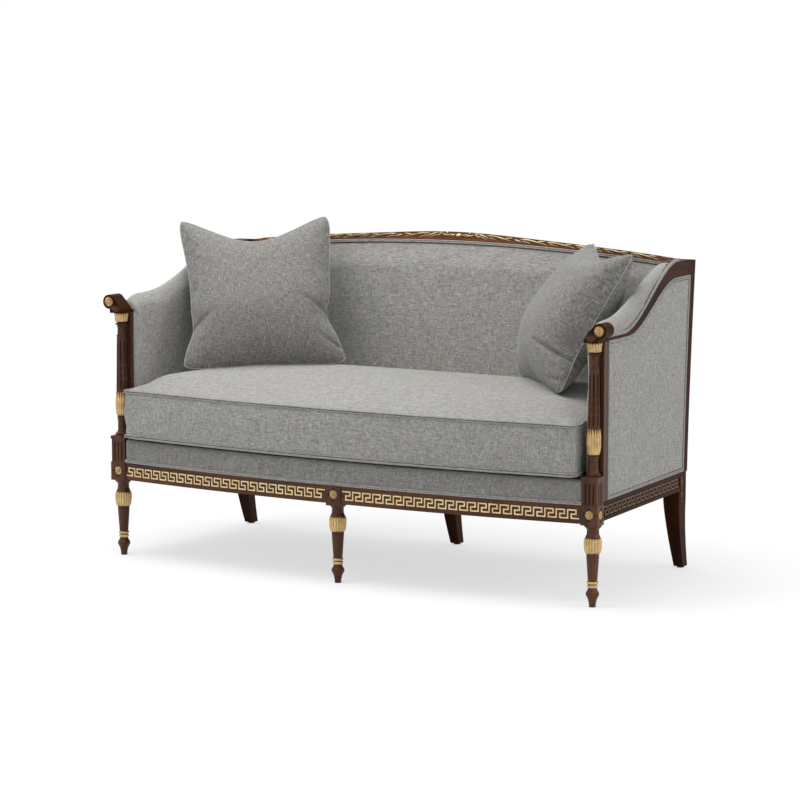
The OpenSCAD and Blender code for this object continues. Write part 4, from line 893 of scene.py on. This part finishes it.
def back_pad_point(u, v, front):
    """A point of the back pad for u across and v up, on its front or against the frame."""
    x = BACK_HALF * u
    top = ARM_TOP + (crest_arch(x) - 24.2) * math.cos(RAKE_TOP)
    z = BACK_LOW + (top - BACK_LOW) * (v + 1) / 2
    wall = pad_wall(z)
    if not front:
        return at(x, wall, z)
    flat = pad_wall(DECK_TOP) - 6 + (pad_wall(POST_TOP) - pad_wall(DECK_TOP) - 2) * (v + 1) / 2
    crown = 7 * (1 - u ** 4) * (1 - v * v)
    edge = min((1 - abs(u)) * BACK_HALF, (1 - v) / 2 * (top - DECK_TOP))
    roll = 1 - (1 - min(1, edge / 12)) ** 2.2
    y = wall - (wall - flat + crown) * roll
    return at(x, y + noise.noise(Vector((x / 90, z / 70, 3.0))) * 1.3 * roll, z)


def spread(t):
    """Moves grid lines closer together near the ends."""
    return math.copysign(1 - (1 - abs(t)) ** 1.5, t)


def on_wall(p):
    """Pins the points that lie against the frame."""
    return 1.0 if p.y - LEG_Y > pad_wall(p.z * 1000) / 1000 - 0.002 else 0.0


back_pad = join_shells("inside_back_linen", [
    lay_grid("front", 130, 52, lambda u, v: back_pad_point(spread(u), spread(v), True)),
    lay_grid("wall", 130, 52, lambda u, v: back_pad_point(spread(u), spread(v), False), flip=True)], 0.00005)
fill(back_pad, 1.2, 0.006, on_wall, frames=12)
refine(back_pad)
take_cloth(back_pad, linen)
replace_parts(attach(back_pad, "frame"), "inside_back_pad")
print("back pad:", len(back_pad.data.polygons), "faces")

# %% [markdown]
# Each arm is padded on its inner face, and the pad rolls over the top of the wood to the double welt.
# The frame's pad is meshed evenly, pinned where it lies on wood and filled with a little pressure.

# %% Inside arm pads
SIDES = (("left", -1), ("right", 1))


def from_side(hand, p):
    """The place of a point in the arm's frame, the opposite of on_side."""
    c, s = math.cos(SIDE_ANGLE), math.sin(SIDE_ANGLE)
    dx, dy = hand * p.x * 1000 - ARM_X, (p.y - LEG_Y) * 1000 - BLOCK_BACK
    return dx * c + dy * s, dy * c - dx * s, p.z * 1000


def keep_clear(hand, p):
    """Holds the filled inner face back from the seat cushion, which slides past it."""
    x, y, z = from_side(hand, p)
    return on_side(hand, x if x > -58 else -58 + (x + 58) * 0.4, y, z)


def meet_welt(hand, p):
    """Rounds a pad's inner edge, draws its rear end out to the welt and sinks it into the wood there."""
    x, y, z = from_side(hand, p)
    over = z - arm_upper(y)
    widen = 34.4 * ease((y - ARM_LENGTH + 150) / 90)
    share = min(1.0, max(0.0, (x + 52) / (46.4 - widen)))
    inner = min(1.0, max(0.0, (-24 - x) / 37)) ** 1.6 * ease((over + 60) / 60)
    end = 8 * ease((y - ARM_LENGTH + 112) / 10) * ease((over + 10) / 10) * ease((x + 50) / 8)
    return on_side(hand, x + widen * share * ease((over + 3) / 5), y, z - 20 * inner - end)


for hand, sign in SIDES:
    pad = own_copy("inside_arm_pad_" + hand, hand + "_arm_linen")
    mesh_evenly(pad, 0.007, 5)
    push(pad, lambda p, normal: noise.noise(p * 11) * 0.0018 - 0.002
         + 0.0048 * max(0.0, normal.z, normal.x * sign))
    for v in pad.data.vertices:
        v.co = meet_welt(sign, v.co)
    on_wood = {key_of(v.co) for v in pad.data.vertices if v.normal.x * sign > 0.2 or v.normal.z < -0.4}
    fill(pad, 2.0, 0.006, lambda p: 1.0 if key_of(p) in on_wood else 0.0, frames=12)
    refine(pad)
    for v in pad.data.vertices:
        v.co = keep_clear(sign, v.co)
    take_cloth(pad, linen)
    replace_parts(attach(pad, "frame"), "inside_arm_pad_" + hand)
    print(pad.name, len(pad.data.polygons), "faces")

# %% [markdown]
# Under the cushion the seat is closed by a padded deck with a covered front border. Both come from the
# frame's own solids, meshed evenly, with their edges softened and the border swelled a little.

# %% Deck pad and border
for node, name, slot, size, swell in (("deck_border", "deck_border_linen", "grey_linen", 0.005, 0.0015),
                                      ("deck_pad", "deck_pad_linen", "deck_cloth", 0.009, 0.0)):
    pad = own_copy(node, name)
    mesh_evenly(pad, size, 4)
    push(pad, lambda p, normal: swell + noise.noise(p * 14) * 0.001)
    refine(pad)
    # The darker linen here is painted shade for the shadow the cushion casts on the border.
    take_cloth(pad, shaded_deck_linen)
    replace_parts(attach(pad, "frame"), node)
    print(pad.name, len(pad.data.polygons), "faces")

# %% [markdown]
# The outsides of the arms and of the back are closed with cloth over thin board and wadding. Each is a
# panel with a faint crown whose border goes down under its double welt. A panel is six grids: its
# face, its board and the four rims between them.

# %% Outside panels
PANEL_LOW = RAKE_FROM + 0.3


def panel_back(z):
    """The rear edge of the arm's outside panel."""
    return (post_back(z) - POST_D + 13 - BLOCK_BACK) / math.cos(SIDE_ANGLE) - 0.6


PANEL_Y0 = 26 + 6 * math.tan(SIDE_ANGLE) + 0.3


def closed_panel(name, across, up, point):
    """A panel whose face, board and rims follow point(u, v, out)."""
    grids = [lay_grid("face", across, up, lambda u, v: point(u, v, True)),
             lay_grid("board", across, up, lambda u, v: point(u, v, False))]
    for end in (-1, 1):
        grids.append(lay_grid("rim", across, 1, lambda u, v: point(u, end, v > 0)))
    for end in (-1, 1):
        grids.append(lay_grid("rim", up, 1, lambda u, v: point(end, u, v > 0)))
    return join_shells(name, grids, 0.00005)


def arm_panel_point(hand, u, v, out):
    """A point of the outside arm panel for u back and v up."""
    a, b = (u + 1) / 2, (v + 1) / 2
    z = PANEL_LOW + 520 * b
    for _ in range(3):
        y = PANEL_Y0 + (panel_back(z) - PANEL_Y0) * a
        z = PANEL_LOW + (arm_lower(y) - 0.3 - PANEL_LOW) * b
    edge = min(a, 1 - a, b, 1 - b) * 500
    rise = 1.6 * (1 - (1 - min(1, edge / 60)) ** 2) + noise.noise(Vector((y / 80, z / 80, 7.0))) * 0.5
    return on_side(hand, (-0.4 + rise) if out else -6.0, y, z)


for hand, sign in SIDES:
    panel = closed_panel(hand + "_outside_arm_linen", 70, 70,
                         lambda u, v, out: arm_panel_point(sign, u, v, out))
    take_cloth(panel, linen)
    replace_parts(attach(panel, "frame"), "outside_arm_panel_" + hand)
    print(panel.name, len(panel.data.polygons), "faces")

back_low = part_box("outside_back_panel")[0]


def back_panel_point(u, v, out):
    """A point of the outside back panel for u across and v up."""
    x = (CREST_HALF - 0.3) * u
    bottom = back_low.z * 1000
    top = on_crest(x, 0, crest_arch(x) - 34.3).z * 1000
    z = bottom + (top - bottom) * (v + 1) / 2
    edge = min((1 - abs(u)) * CREST_HALF, (1 - abs(v)) / 2 * (top - bottom))
    rise = 1.8 * (1 - (1 - min(1, edge / 60)) ** 2) + noise.noise(Vector((x / 90, z / 90, 11.0))) * 0.5
    return at(x, post_back(z) - (8 if not out else 2 - rise), z)


back_panel = closed_panel("outside_back_linen", 140, 60, back_panel_point)
take_cloth(back_panel, linen)
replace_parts(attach(back_panel, "frame"), "outside_back_panel")
print("outside back panel:", len(back_panel.data.polygons), "faces")

# %% [markdown]
# Double welts run along the front of the deck, under the crest, over the arms and round the outside
# panels. Each one is a pair of cords, 4.6 mm thick, that touch along their length. Round the arm
# panels a dark line lies in each groove, where the real welt throws its small shadow.

# %% Double welts
CORD_RADIUS = WELT / 2000
pair = (WELT / 2, WELT * 1.5)


def round_the_edge(point, inset, count):
    """A closed run inside the border of a panel whose point(u, v) is known, inset in millimetres."""
    width = (point(1, 0) - point(-1, 0)).length * 1000
    height = (point(0, 1) - point(0, -1)).length * 1000
    iu, iv = 1 - 2 * inset / width, 1 - 2 * inset / height
    corners = [(-iu, -iv), (iu, -iv), (iu, iv), (-iu, iv)]
    return [point(a[0] + (b[0] - a[0]) * k / count, a[1] + (b[1] - a[1]) * k / count)
            for a, b in zip(corners, corners[1:] + corners[:1]) for k in range(count)]


def round_arm_panels(insets):
    """Closed runs round both arm panels."""
    return [round_the_edge(lambda u, v: arm_panel_point(sign, u, v, True), inset, 90)
            for hand, sign in SIDES for inset in insets]


deck_runs = [[at(x, bow_y(x, 0.3), 268 + h) for x in steps(-717, 717, 240)] for h in pair]
crest_runs = [[on_crest(x, -42.3, crest_arch(x, -14 - 2 * WELT + h)) for x in steps(-683, 683, 240)]
              for h in pair]
arm_runs = [[on_side(sign, -WELT / 2 - 0.2, y, arm_upper(y) + h) for y in steps(27, ARM_LENGTH * 0.875, 120)]
            for hand, sign in SIDES for h in pair]
arm_runs += [[on_side(sign, -WELT * 1.5 - 0.4, y, arm_upper(y) + WELT * 0.9)
              for y in steps(40, ARM_LENGTH * 0.87, 120)] for hand, sign in SIDES]
back_runs = [round_the_edge(lambda u, v: back_panel_point(u, v, True), h, 120) for h in pair]
for name, runs, closed, node in (("deck_double_welt", deck_runs, False, "deck_welt"),
                                 ("back_double_welt", crest_runs, False, "back_welt"),
                                 ("arm_double_welts", arm_runs, False, "arm_welts"),
                                 ("outside_arm_double_welts", round_arm_panels(pair), True, "outside_arm_welts"),
                                 ("outside_back_double_welt", back_runs, True, "outside_back_welt")):
    cords = piping(name, runs, CORD_RADIUS, linen, closed=closed)
    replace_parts(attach(cords, "frame"), node)
    print(name, len(runs), "cords")
# Dark cords in the groove of each arm panel welt: painted shadow.
groove_shadows = piping("outside_arm_welt_grooves", round_arm_panels((WELT, WELT * 2.05)), 0.0011, painted_seam_shadow,
                 closed=True)
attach(groove_shadows, "frame")

# %% [markdown]
# The carved ornament is built from one small form: a drop, pointed at one end and rounded at the
# other, with its back cut flat so that it lies on the wood. It starts as a sphere that is turned,
# stretched, drawn to a point and cut in half. Copies of it become leaves, petals and husks.

# %% A carved drop
drop = primitive(bpy.ops.mesh.primitive_uv_sphere_add, "carved_drop", segments=12, ring_count=9, radius=0.5)
with editing(drop):
    bpy.ops.transform.rotate(value=math.pi / 2, orient_axis="Y", center_override=(0, 0, 0))
for reach, narrow in ((0.05, 0.86), (0.2, 0.8), (0.33, 0.72), (0.45, 0.6)):
    with editing(drop, points=lambda v: v.co.x > reach):
        bpy.ops.transform.resize(value=(1, narrow, narrow), center_override=(0, 0, 0))
with editing(drop):
    bpy.ops.mesh.bisect(plane_co=(0, 0, -0.08), plane_no=(0, 0, 1), use_fill=True, clear_inner=True)
    bpy.ops.mesh.select_all(action="SELECT")
    bpy.ops.mesh.normals_make_consistent(inside=False)


def strew(name, shape, places, finish, angle=50):
    """Copies a shape to many places, with its own mesh each time, and joins the copies."""
    copies = []
    for place in places:
        one = shape.copy()
        one.data = shape.data.copy()
        one.data.transform(place)
        if place.determinant() < 0:
            one.data.flip_normals()
        scene.collection.objects.link(one)
        copies.append(one)
    piece = joined(name, copies)
    piece.data.materials.clear()
    piece.data.materials.append(finish)
    bpy.ops.object.shade_smooth_by_angle(angle=math.radians(angle))
    return piece


def facing(origin, along, out):
    """A place whose X runs along, and whose Z stands out of the surface."""
    x, z = along.normalized(), out.normalized()
    y = z.cross(x).normalized()
    z = x.cross(y)
    return Matrix.Translation(origin) @ Matrix((x, y, z)).transposed().to_4x4()


def sized(length, width, height):
    """A scale in millimetres."""
    return Matrix.Diagonal((length / 1000, width / 1000, height / 1000, 1))


print("drop:", len(drop.data.polygons), "faces")

# %% [markdown]
# The crest's carving lies on a ground of reddish walnut that stands over the arch and rises a little
# in the middle. The ground is one section laid along the arch. A half-round bead of the same polished
# walnut closes it above the welt, and a finer, darker bead along its top is painted shade for its top edge.

# %% Ground and bead of the crest carving
walnut_crest = make_walnut("polished_red_walnut", X_GRAIN, "#623115", "#905028")


def ground_rise(x):
    """How far the carved ground stands above the arch."""
    return 0.6 + 9.2 * math.exp(-(x / 227) ** 2)


def ground_point(u, v):
    """A point of the carved ground: u along the crest, v round its section."""
    x = CREST_HALF * 0.985 * u
    rise = ground_rise(x) * (1 if abs(u) < 0.97 else (1 - abs(u)) / 0.03)
    section = [(-40.2, -9.5), (-41.4, -8.8), (-42.0, -6.0), (-42.0, rise - 2.2), (-41.2, rise - 0.6),
               (-39.6, rise), (-33.0, rise), (-31.4, rise - 0.6), (-31.0, 0.35), (-40.0, 0.32)]
    y, h = section[round((v + 1) / 2 * len(section)) % len(section)]
    return on_crest(x, y, crest_arch(x) + h)


ground = join_shells("crest_carving_ground", [lay_grid("ground", 160, 10, ground_point)], 0.00003)
take_cloth(ground, walnut_crest)
bpy.ops.object.shade_smooth_by_angle(angle=math.radians(40))
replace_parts(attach(ground, "frame"), "crest_carving")
bead_run = [on_crest(x, -40.2, crest_arch(x) - 11.2) for x in steps(-682, 682, 200)]
# The top bead is painted shade: the darker rail walnut, where the crest's top edge falls dark.
top_shade_run = [on_crest(x, -40.6, crest_arch(x) + ground_rise(x) - 0.8) for x in steps(-650, 650, 200)]
bead = piping("crest_bead", [bead_run], 0.0027, walnut_crest, sides=4)
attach(bead, "frame")
top_shade_line = piping("crest_top_shade_bead", [top_shade_run], 0.0017, walnut_rail)
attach(top_shade_line, "frame")
print("ground and bead:", len(ground.data.polygons), len(bead.data.polygons))

# %% [markdown]
# The garland on it is slim: an oval pearl in the middle, leaves and stems round it, and sprays that
# repeat out to both ends. Each leaf or stem is one stroke of the chisel, so it is a thin round run
# along three or four points, full in its first half and drawn to a point, half sunk in the ground.

# %% Garland of the crest
PEARL_X = 12.0
SPRAY_START, SPRAY_STEP = 200, 88


def on_band(hand, x, h, out=0.0):
    """A point of the carved band: x from the pearl, h from the middle of the band."""
    x = PEARL_X * (1 - abs(x) / 660) + hand * x
    rise = ground_rise(x)
    return on_crest(x, -41.8 - out, crest_arch(x) + (rise - 14) / 2 + h * (rise + 14) / 24)


# Each stroke is a run of points: place from the pearl and height over the band's middle.
LEAVES = [[(11, 4.5), (20, 2.2), (28, -1.5)], [(20, 7.5), (30, 3.0), (42, 3.4), (52, 7.0)],
          [(33, 8), (38, 11), (40, 14)], [(54, 9), (61, 3.5), (67, -2.5)],
          [(66, 9.3), (79, 6.4), (92, 1.5), (102, -3.4)], [(92, 7), (118, 7.2), (145, 2.5), (174, -3.2)],
          [(150, 2.5), (163, 5.5), (176, 7.4)], [(182, 3), (194, 0.5), (207, -3)]]
STEMS = [[(50, 9.6), (60, 9.8), (72, 9.0)], [(72, 3), (84, -2), (94, -6)], [(100, 2), (112, -1), (128, -5)],
         [(60, 2), (74, 2.4), (86, -0.5)]]
SPRAY_LEAVES = [[(0, 7), (26, 7), (52, 3), (80, -3.4)], [(56, 3.5), (68, 6.2), (82, 7.8)]]
SPRAY_STEMS = [[(6, 1.5), (20, -1.5), (36, -5)], [(64, 0.5), (76, -2), (90, -5)]]
for k in range(5):
    for strokes, spray in ((LEAVES, SPRAY_LEAVES), (STEMS, SPRAY_STEMS)):
        strokes += [[(SPRAY_START + SPRAY_STEP * k + x, h) for x, h in run] for run in spray]


def leaf_swell(t):
    """The width of a stroke along it: full in its first half, then drawn to a point."""
    return 0.15 + 0.85 * math.sin(math.pi * t ** 0.75) ** 0.8


for name, strokes, radius, out in (("crest_leaves", LEAVES, 0.0024, 0.6), ("crest_stems", STEMS, 0.0014, 0.2)):
    runs = [even_run([on_band(hand, x, h, out) for x, h in run], 0.003, closed=False)
            for hand in (-1, 1) for run in strokes]
    carved = piping(name, runs, radius, gilding_aged, swell=leaf_swell)
    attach(carved, "frame")
    print(name, len(runs), "strokes,", len(carved.data.polygons), "faces")
pearl_shape = primitive(bpy.ops.mesh.primitive_uv_sphere_add, "half_pearl", segments=20, ring_count=12,
                        radius=0.5)
with editing(pearl_shape):
    bpy.ops.mesh.bisect(plane_co=(0, 0, -0.15), plane_no=(0, 0, 1), use_fill=True, clear_inner=True)
crest_out = on_crest(0, -1, 0) - on_crest(0, 0, 0)
pearl_at = facing(on_band(1, 0, 3.2, 0.8), on_band(1, 3, 4.2) - on_band(1, -3, 3.2), crest_out)
pearl = strew("crest_pearl", pearl_shape, [pearl_at @ sized(18, 9, 9)], gilding_burnished_and_lit)
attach(pearl, "frame")
print("pearl:", len(pearl.data.polygons), "faces")

# %% [markdown]
# A rosette sits in a sunk lozenge on each corner block and at the end of each scroll. It is a ring of
# petals over a second ring that shows between them, on a turned disc, with a beaded boss.

# %% Rosettes
disc = primitive(bpy.ops.mesh.primitive_cylinder_add, "rosette_disc", vertices=40, radius=0.5, depth=1,
                 location=(0, 0, 0))


def on_top(face):
    """Chooses the upper face of a cylinder."""
    return face.normal.z > 0.9


with editing(disc, faces=on_top):
    bpy.ops.mesh.inset(thickness=0.12)
    bpy.ops.transform.translate(value=(0, 0, -0.25))
    bpy.ops.mesh.inset(thickness=0.14)
    bpy.ops.transform.translate(value=(0, 0, 0.2))

# Rings of petals: how many, and their reach, length and width as shares of the radius, with the height
PETAL_RINGS = ((16, 0.66, 0.72, 0.23, 4.8), (8, 0.26, 0.26, 0.16, 5.4))


def petal_places(base, radius):
    """The places of a rosette's petals."""
    places = []
    for count, reach, length, width, height in PETAL_RINGS:
        for i in range(count):
            turn = Matrix.Rotation(2 * math.pi * i / count, 4, "Z")
            places.append(base @ turn @ Matrix.Translation((radius * reach / 1000, 0, 0.0009))
                          @ sized(radius * length, radius * width, height))
    return places


ROSETTE_Z = 243.6
UP, TO_FRONT = Vector((0, 0, 1)), Vector((0, -1, 0))
rosettes = [(at(s * 740, -22.5, ROSETTE_Z), TO_FRONT, 13.6) for s in (-1, 1)]
rosettes += [(at(s * 762.5, -5.5, ROSETTE_Z), Vector((s, 0, 0)), 12.4) for s in (-1, 1)]
rosettes += [(at(0, -72.5, ROSETTE_Z), TO_FRONT, 13.6)]
ends = [(at(s * 764.5, -24.5, 721), TO_FRONT, 15.0) for s in (-1, 1)]
for name, group in (("block_rosette", rosettes), ("scroll_rosette", ends)):
    petals, discs, bosses = [], [], []
    for middle, out, radius in group:
        base = facing(middle, UP.cross(out), out)
        petals += petal_places(base, radius)
        discs.append(base @ Matrix.Translation((0, 0, 0.0006)) @ sized(radius * 1.2, radius * 1.2, 1.6))
        bosses.append(base @ Matrix.Translation((0, 0, 0.0014)) @ sized(radius * 0.36, radius * 0.36, 7))
    for part, shape, spots, finish in (("petals", drop, petals, gilding), ("discs", disc, discs, gilding_rubbed_and_shaded),
                                       ("bosses", pearl_shape, bosses, gilding)):
        piece = strew(name + "_" + part, shape, spots, finish)
        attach(piece, "frame")
        if part == "petals":
            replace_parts(piece, name + "s")
    print(name, len(petals), "petals")

# %% [markdown]
# The sunk lozenge round each block rosette is almost black, and the gold stands out against it. It is a
# thin plate on the floor of the recess, with its edge bevelled down to the wood.

# %% Dark lozenges
plate = primitive(bpy.ops.mesh.primitive_cylinder_add, "lozenge_plate", vertices=4, radius=0.5, depth=1,
                  location=(0, 0, 0))
with editing(plate, faces=on_top):
    bpy.ops.mesh.inset(thickness=0.03)
    bpy.ops.transform.translate(value=(0, 0, 0.3))
# Near-black walnut: painted shadow in the flutes, and the dark ground of the lozenges.
black_shade_and_stain = make_walnut("black_stained_walnut", UPRIGHT_GRAIN, "#140a06", "#21120a")
spots = [facing(middle + out * 0.0001, UP.cross(out), out) @ sized(38.4, 35.6, 0.5)
         for middle, out, radius in rosettes]
lozenges = strew("dark_lozenges", plate, spots, black_shade_and_stain)
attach(lozenges, "frame")
bpy.data.objects.remove(plate)
print("lozenges:", len(spots))

# %% [markdown]
# The gilt collars are gadrooned: rows of rounded lobes stand side by side round the turning. One lobe
# is shaped level by level to the collar's profile, then copied round it. On the column's cup and on
# the capital the lobes end in pointed tips, so the rim looks like a crown of leaves.

# %% Gadrooned collars
LIFT = 100


def make_lobe(profile, width, depth, tip):
    """One upright lobe that follows (radius, height) points, in millimetres. A tip above 0 draws it out."""
    lobe = primitive(bpy.ops.mesh.primitive_uv_sphere_add, "lobe", segments=10, ring_count=14, radius=0.5)
    low_h, high_h = profile[0][1], profile[-1][1] + tip
    tip_share, tip_power = (0.3, 0.8) if tip > 0 else (0.12, 0.5)
    levels = sorted({round(v.co.z, 4) for v in lobe.data.vertices})
    for number, level in enumerate(levels):
        share = number / (len(levels) - 1)
        h = low_h + (high_h - low_h) * share
        radius = profile[-1][0]
        for (r0, h0), (r1, h1) in zip(profile, profile[1:]):
            if h0 <= h <= h1:
                radius = r0 + (r1 - r0) * (h - h0) / (h1 - h0)
        full = min(1.0, (share / 0.1) ** 0.5, ((1 - share) / tip_share) ** tip_power)
        size = full / (2 * math.sqrt(max(1e-6, 0.25 - level * level)))
        with editing(lobe, points=lambda v: abs(v.co.z - level) < 0.0001):
            bpy.ops.transform.resize(value=(size * depth, size * width, 1), center_override=(0, 0, level))
            bpy.ops.transform.translate(value=(radius - depth * 0.55, 0, LIFT + h - level))
    for v in lobe.data.vertices:
        v.co = Vector((v.co.x, v.co.y, v.co.z - LIFT)) / 1000
    return lobe


def turn_round(name, profile, middle):
    """A turned shell through (radius, height) points round a middle line."""
    mesh = bpy.data.meshes.new(name)
    mesh.from_pydata([(middle.x + r / 1000, middle.y, h / 1000) for r, h in profile],
                     [(i, i + 1) for i in range(len(profile) - 1)], [])
    shell = bpy.data.objects.new(name, mesh)
    scene.collection.objects.link(shell)
    with editing(shell):
        bpy.ops.mesh.spin(steps=48, angle=2 * math.pi, center=(middle.x, middle.y, 0), axis=(0, 0, 1))
    return join_shells(name, [shell], 0.00003)


leg_axes = [at(-740, 0, 0), at(740, 0, 0), at(0, -50, 0)]
column_axes = leg_axes[:2]
barrel = [(20.2, 140.2), (21.8, 146), (23.0, 153), (23.7, 161), (24.0, 168), (23.7, 175), (22.9, 179.5),
          (21.8, 182.8)]
cup = [(15.6, 396.2), (17.2, 403), (18.6, 412), (19.5, 425), (19.7, 436), (19.3, 448), (18.9, 458),
       (19.4, 464.8)]
capital = [(17.9, 664.2), (18.3, 669), (19.2, 677), (20.1, 684), (21.0, 689.6)]
for name, profile, axes, count, width, depth, tip, node, bore in (
        ("leg_barrel", barrel, leg_axes, 18, 7.2, 4.4, 0.0, "leg_collars", 13.9),
        ("column_cup", cup, column_axes, 15, 7.2, 4.0, 3.0, "column_collars", 11.2),
        ("column_capital", capital, column_axes, 16, 6.6, 3.4, 1.6, "column_capitals", 11.2)):
    lobe = make_lobe(profile, width, depth, tip)
    spots = [Matrix.Translation((a.x, a.y, 0)) @ Matrix.Rotation(2 * math.pi * i / count, 4, "Z")
             for a in axes for i in range(count)]
    lobes = strew(name + "_lobes", lobe, spots, gilding, 60)
    section = [(bore, profile[0][1])] + [(r - depth * 0.62, h) for r, h in profile] + [(bore, profile[-1][1])]
    cores = join_shells(name + "_cores", [turn_round(name + "_core", section, a) for a in axes], 0.00002)
    take_cloth(cores, gilding_rubbed_and_shaded)
    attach(cores, "frame")
    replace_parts(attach(lobes, "frame"), node)
    bpy.data.objects.remove(lobe)
    print(lobes.name, len(lobes.data.polygons), "faces")

# %% [markdown]
# Small carved leaves also lie on the wood: a spray of walnut leaves on the neck of each scroll, a run
# of husks in the flutes of the columns, and a gilt bellflower drop on each rear leg. The bottom of
# each flute carries painted shadow, as thin near-black cords in the flutes of columns and squares.

# %% Small carving
neck = []
for s in (-1, 1):
    for turn in (-52, -30, -10, 10, 30, 52):
        sideways, upwards = math.sin(math.radians(turn)), math.cos(math.radians(turn))
        neck.append(facing(at(s * (741 + 13 * sideways), -24.6, 697 + 6.5 * upwards),
                           Vector((s * sideways, 0, upwards)), TO_FRONT) @ sized(22, 6.0, 6.0))
neck_leaves = strew("scroll_neck_leaves", drop, neck, walnut_upright)
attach(neck_leaves, "frame")

husks, flute_shadow_runs = [], []
for axis in column_axes:
    for turn in [math.radians(22.5 + 45 * i) for i in range(8)]:
        out = Vector((math.cos(turn), math.sin(turn), 0))
        for h in (503, 522, 541):
            radius = 16.5 - 3.0 * (h - 465) / 159 - 1.3
            husks.append(facing(axis + (out * radius + UP * h) / 1000, -UP, out) @ sized(15, 4.2, 3.6))
        flute_shadow_runs.append([axis + (out * (15.3 - 0.01887 * (h - 474)) + UP * h) / 1000
                           for h in (476, 541, 607)])
husk_run = strew("flute_husks", drop, husks, walnut_upright)
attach(husk_run, "frame")

square_flutes = [(11.4 * i, -21.1) for i in (-1, 0, 1)] + [(21.1, -5.5 + 9.12 * i) for i in (-1, 0, 1)]
flute_shadow_runs += [[at(s * (740 + x), y, h) for h in (273, 298, 323)] for s in (-1, 1) for x, y in square_flutes]
# The flute cords are painted shadow in the hollows.
stain = piping("flute_painted_shadow", flute_shadow_runs, 0.0012, black_shade_and_stain)
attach(stain, "frame")

# Each bell or leaf of a rear leg's drop: height, step to the back, turn, length and width
BELLS = ((261, 0, 90, 8, 8), (247, 0, -90, 22, 6), (246, 3.0, -104, 19, 5), (246, -3.0, -76, 19, 5),
         (228, 0, -90, 24, 4), (214, 0, -90, 22, 5.5), (213, 2.8, -106, 17, 4.5), (213, -2.8, -74, 17, 4.5),
         (197, 0, -90, 12, 4.5))
DROP_Y = 561.2
drops = []
for s in (-1, 1):
    for h, dy, turn, length, width in BELLS:
        lean = math.radians(turn)
        along = Vector((0, math.cos(lean), math.sin(lean)))
        drops.append(facing(at(s * 732.2, DROP_Y + dy, h), along, Vector((s, 0, 0))) @ sized(length, width, 6))
bellflowers = strew("bellflower_drops", drop, drops, gilding_rubbed_and_shaded)
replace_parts(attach(bellflowers, "frame"), "rear_leg_drops")
for shape in (drop, disc, pearl_shape):
    bpy.data.objects.remove(shape)
print("leaves", len(neck), "husks", len(husks), "drops", len(drops))

# %% [markdown]
# A black cambric sheet closes the underside, stapled to the rails. It is one thin woven sheet, cut to
# the frame's inner line, that hangs a few millimetres between its staples.

# %% Dust cover
cover_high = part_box("dust_cover")[1]


def cover_point(u, v):
    """A point of the cambric: u across, v from front to back."""
    x = u * (0.7095 - 0.0315 * (v + 1) / 2)
    front = bow_y(x * 1000) / 1000 + 0.018 + LEG_Y
    y = front + (0.5755 + LEG_Y - front) * (v + 1) / 2
    hang = (1 - u ** 4) * (1 - v ** 4)
    sag = (0.0014 + noise.noise(Vector((x * 7, y * 9, 0))) * 0.0009) * hang
    return Vector((x, y, cover_high.z - 0.0006 - sag))


cover = lay_grid("cambric_dust_cover", 144, 60, cover_point)
around = Vector((0.0015, 0.0015, 0))
notches = []
for leg in ("front_leg_centre", "rear_leg_centre"):
    leg_low, leg_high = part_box(leg)
    notches.append((leg_low - around, leg_high + around))
with editing(cover):
    for corner in [corner for notch in notches for corner in notch]:
        for across in ((1, 0, 0), (0, 1, 0)):
            bpy.ops.mesh.select_all(action="SELECT")
            bpy.ops.mesh.bisect(plane_co=corner, plane_no=across)


def in_notch(face):
    """Chooses the faces where a leg goes through the cloth."""
    return any(a.x < face.center.x < b.x and a.y < face.center.y < b.y for a, b in notches)


with editing(cover, faces=in_notch):
    bpy.ops.mesh.delete(type="FACE")
change(cover, "SOLIDIFY", thickness=0.0005, offset=0)
take_cloth(cover, black_cambric)
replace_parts(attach(cover, "frame"), "dust_cover")
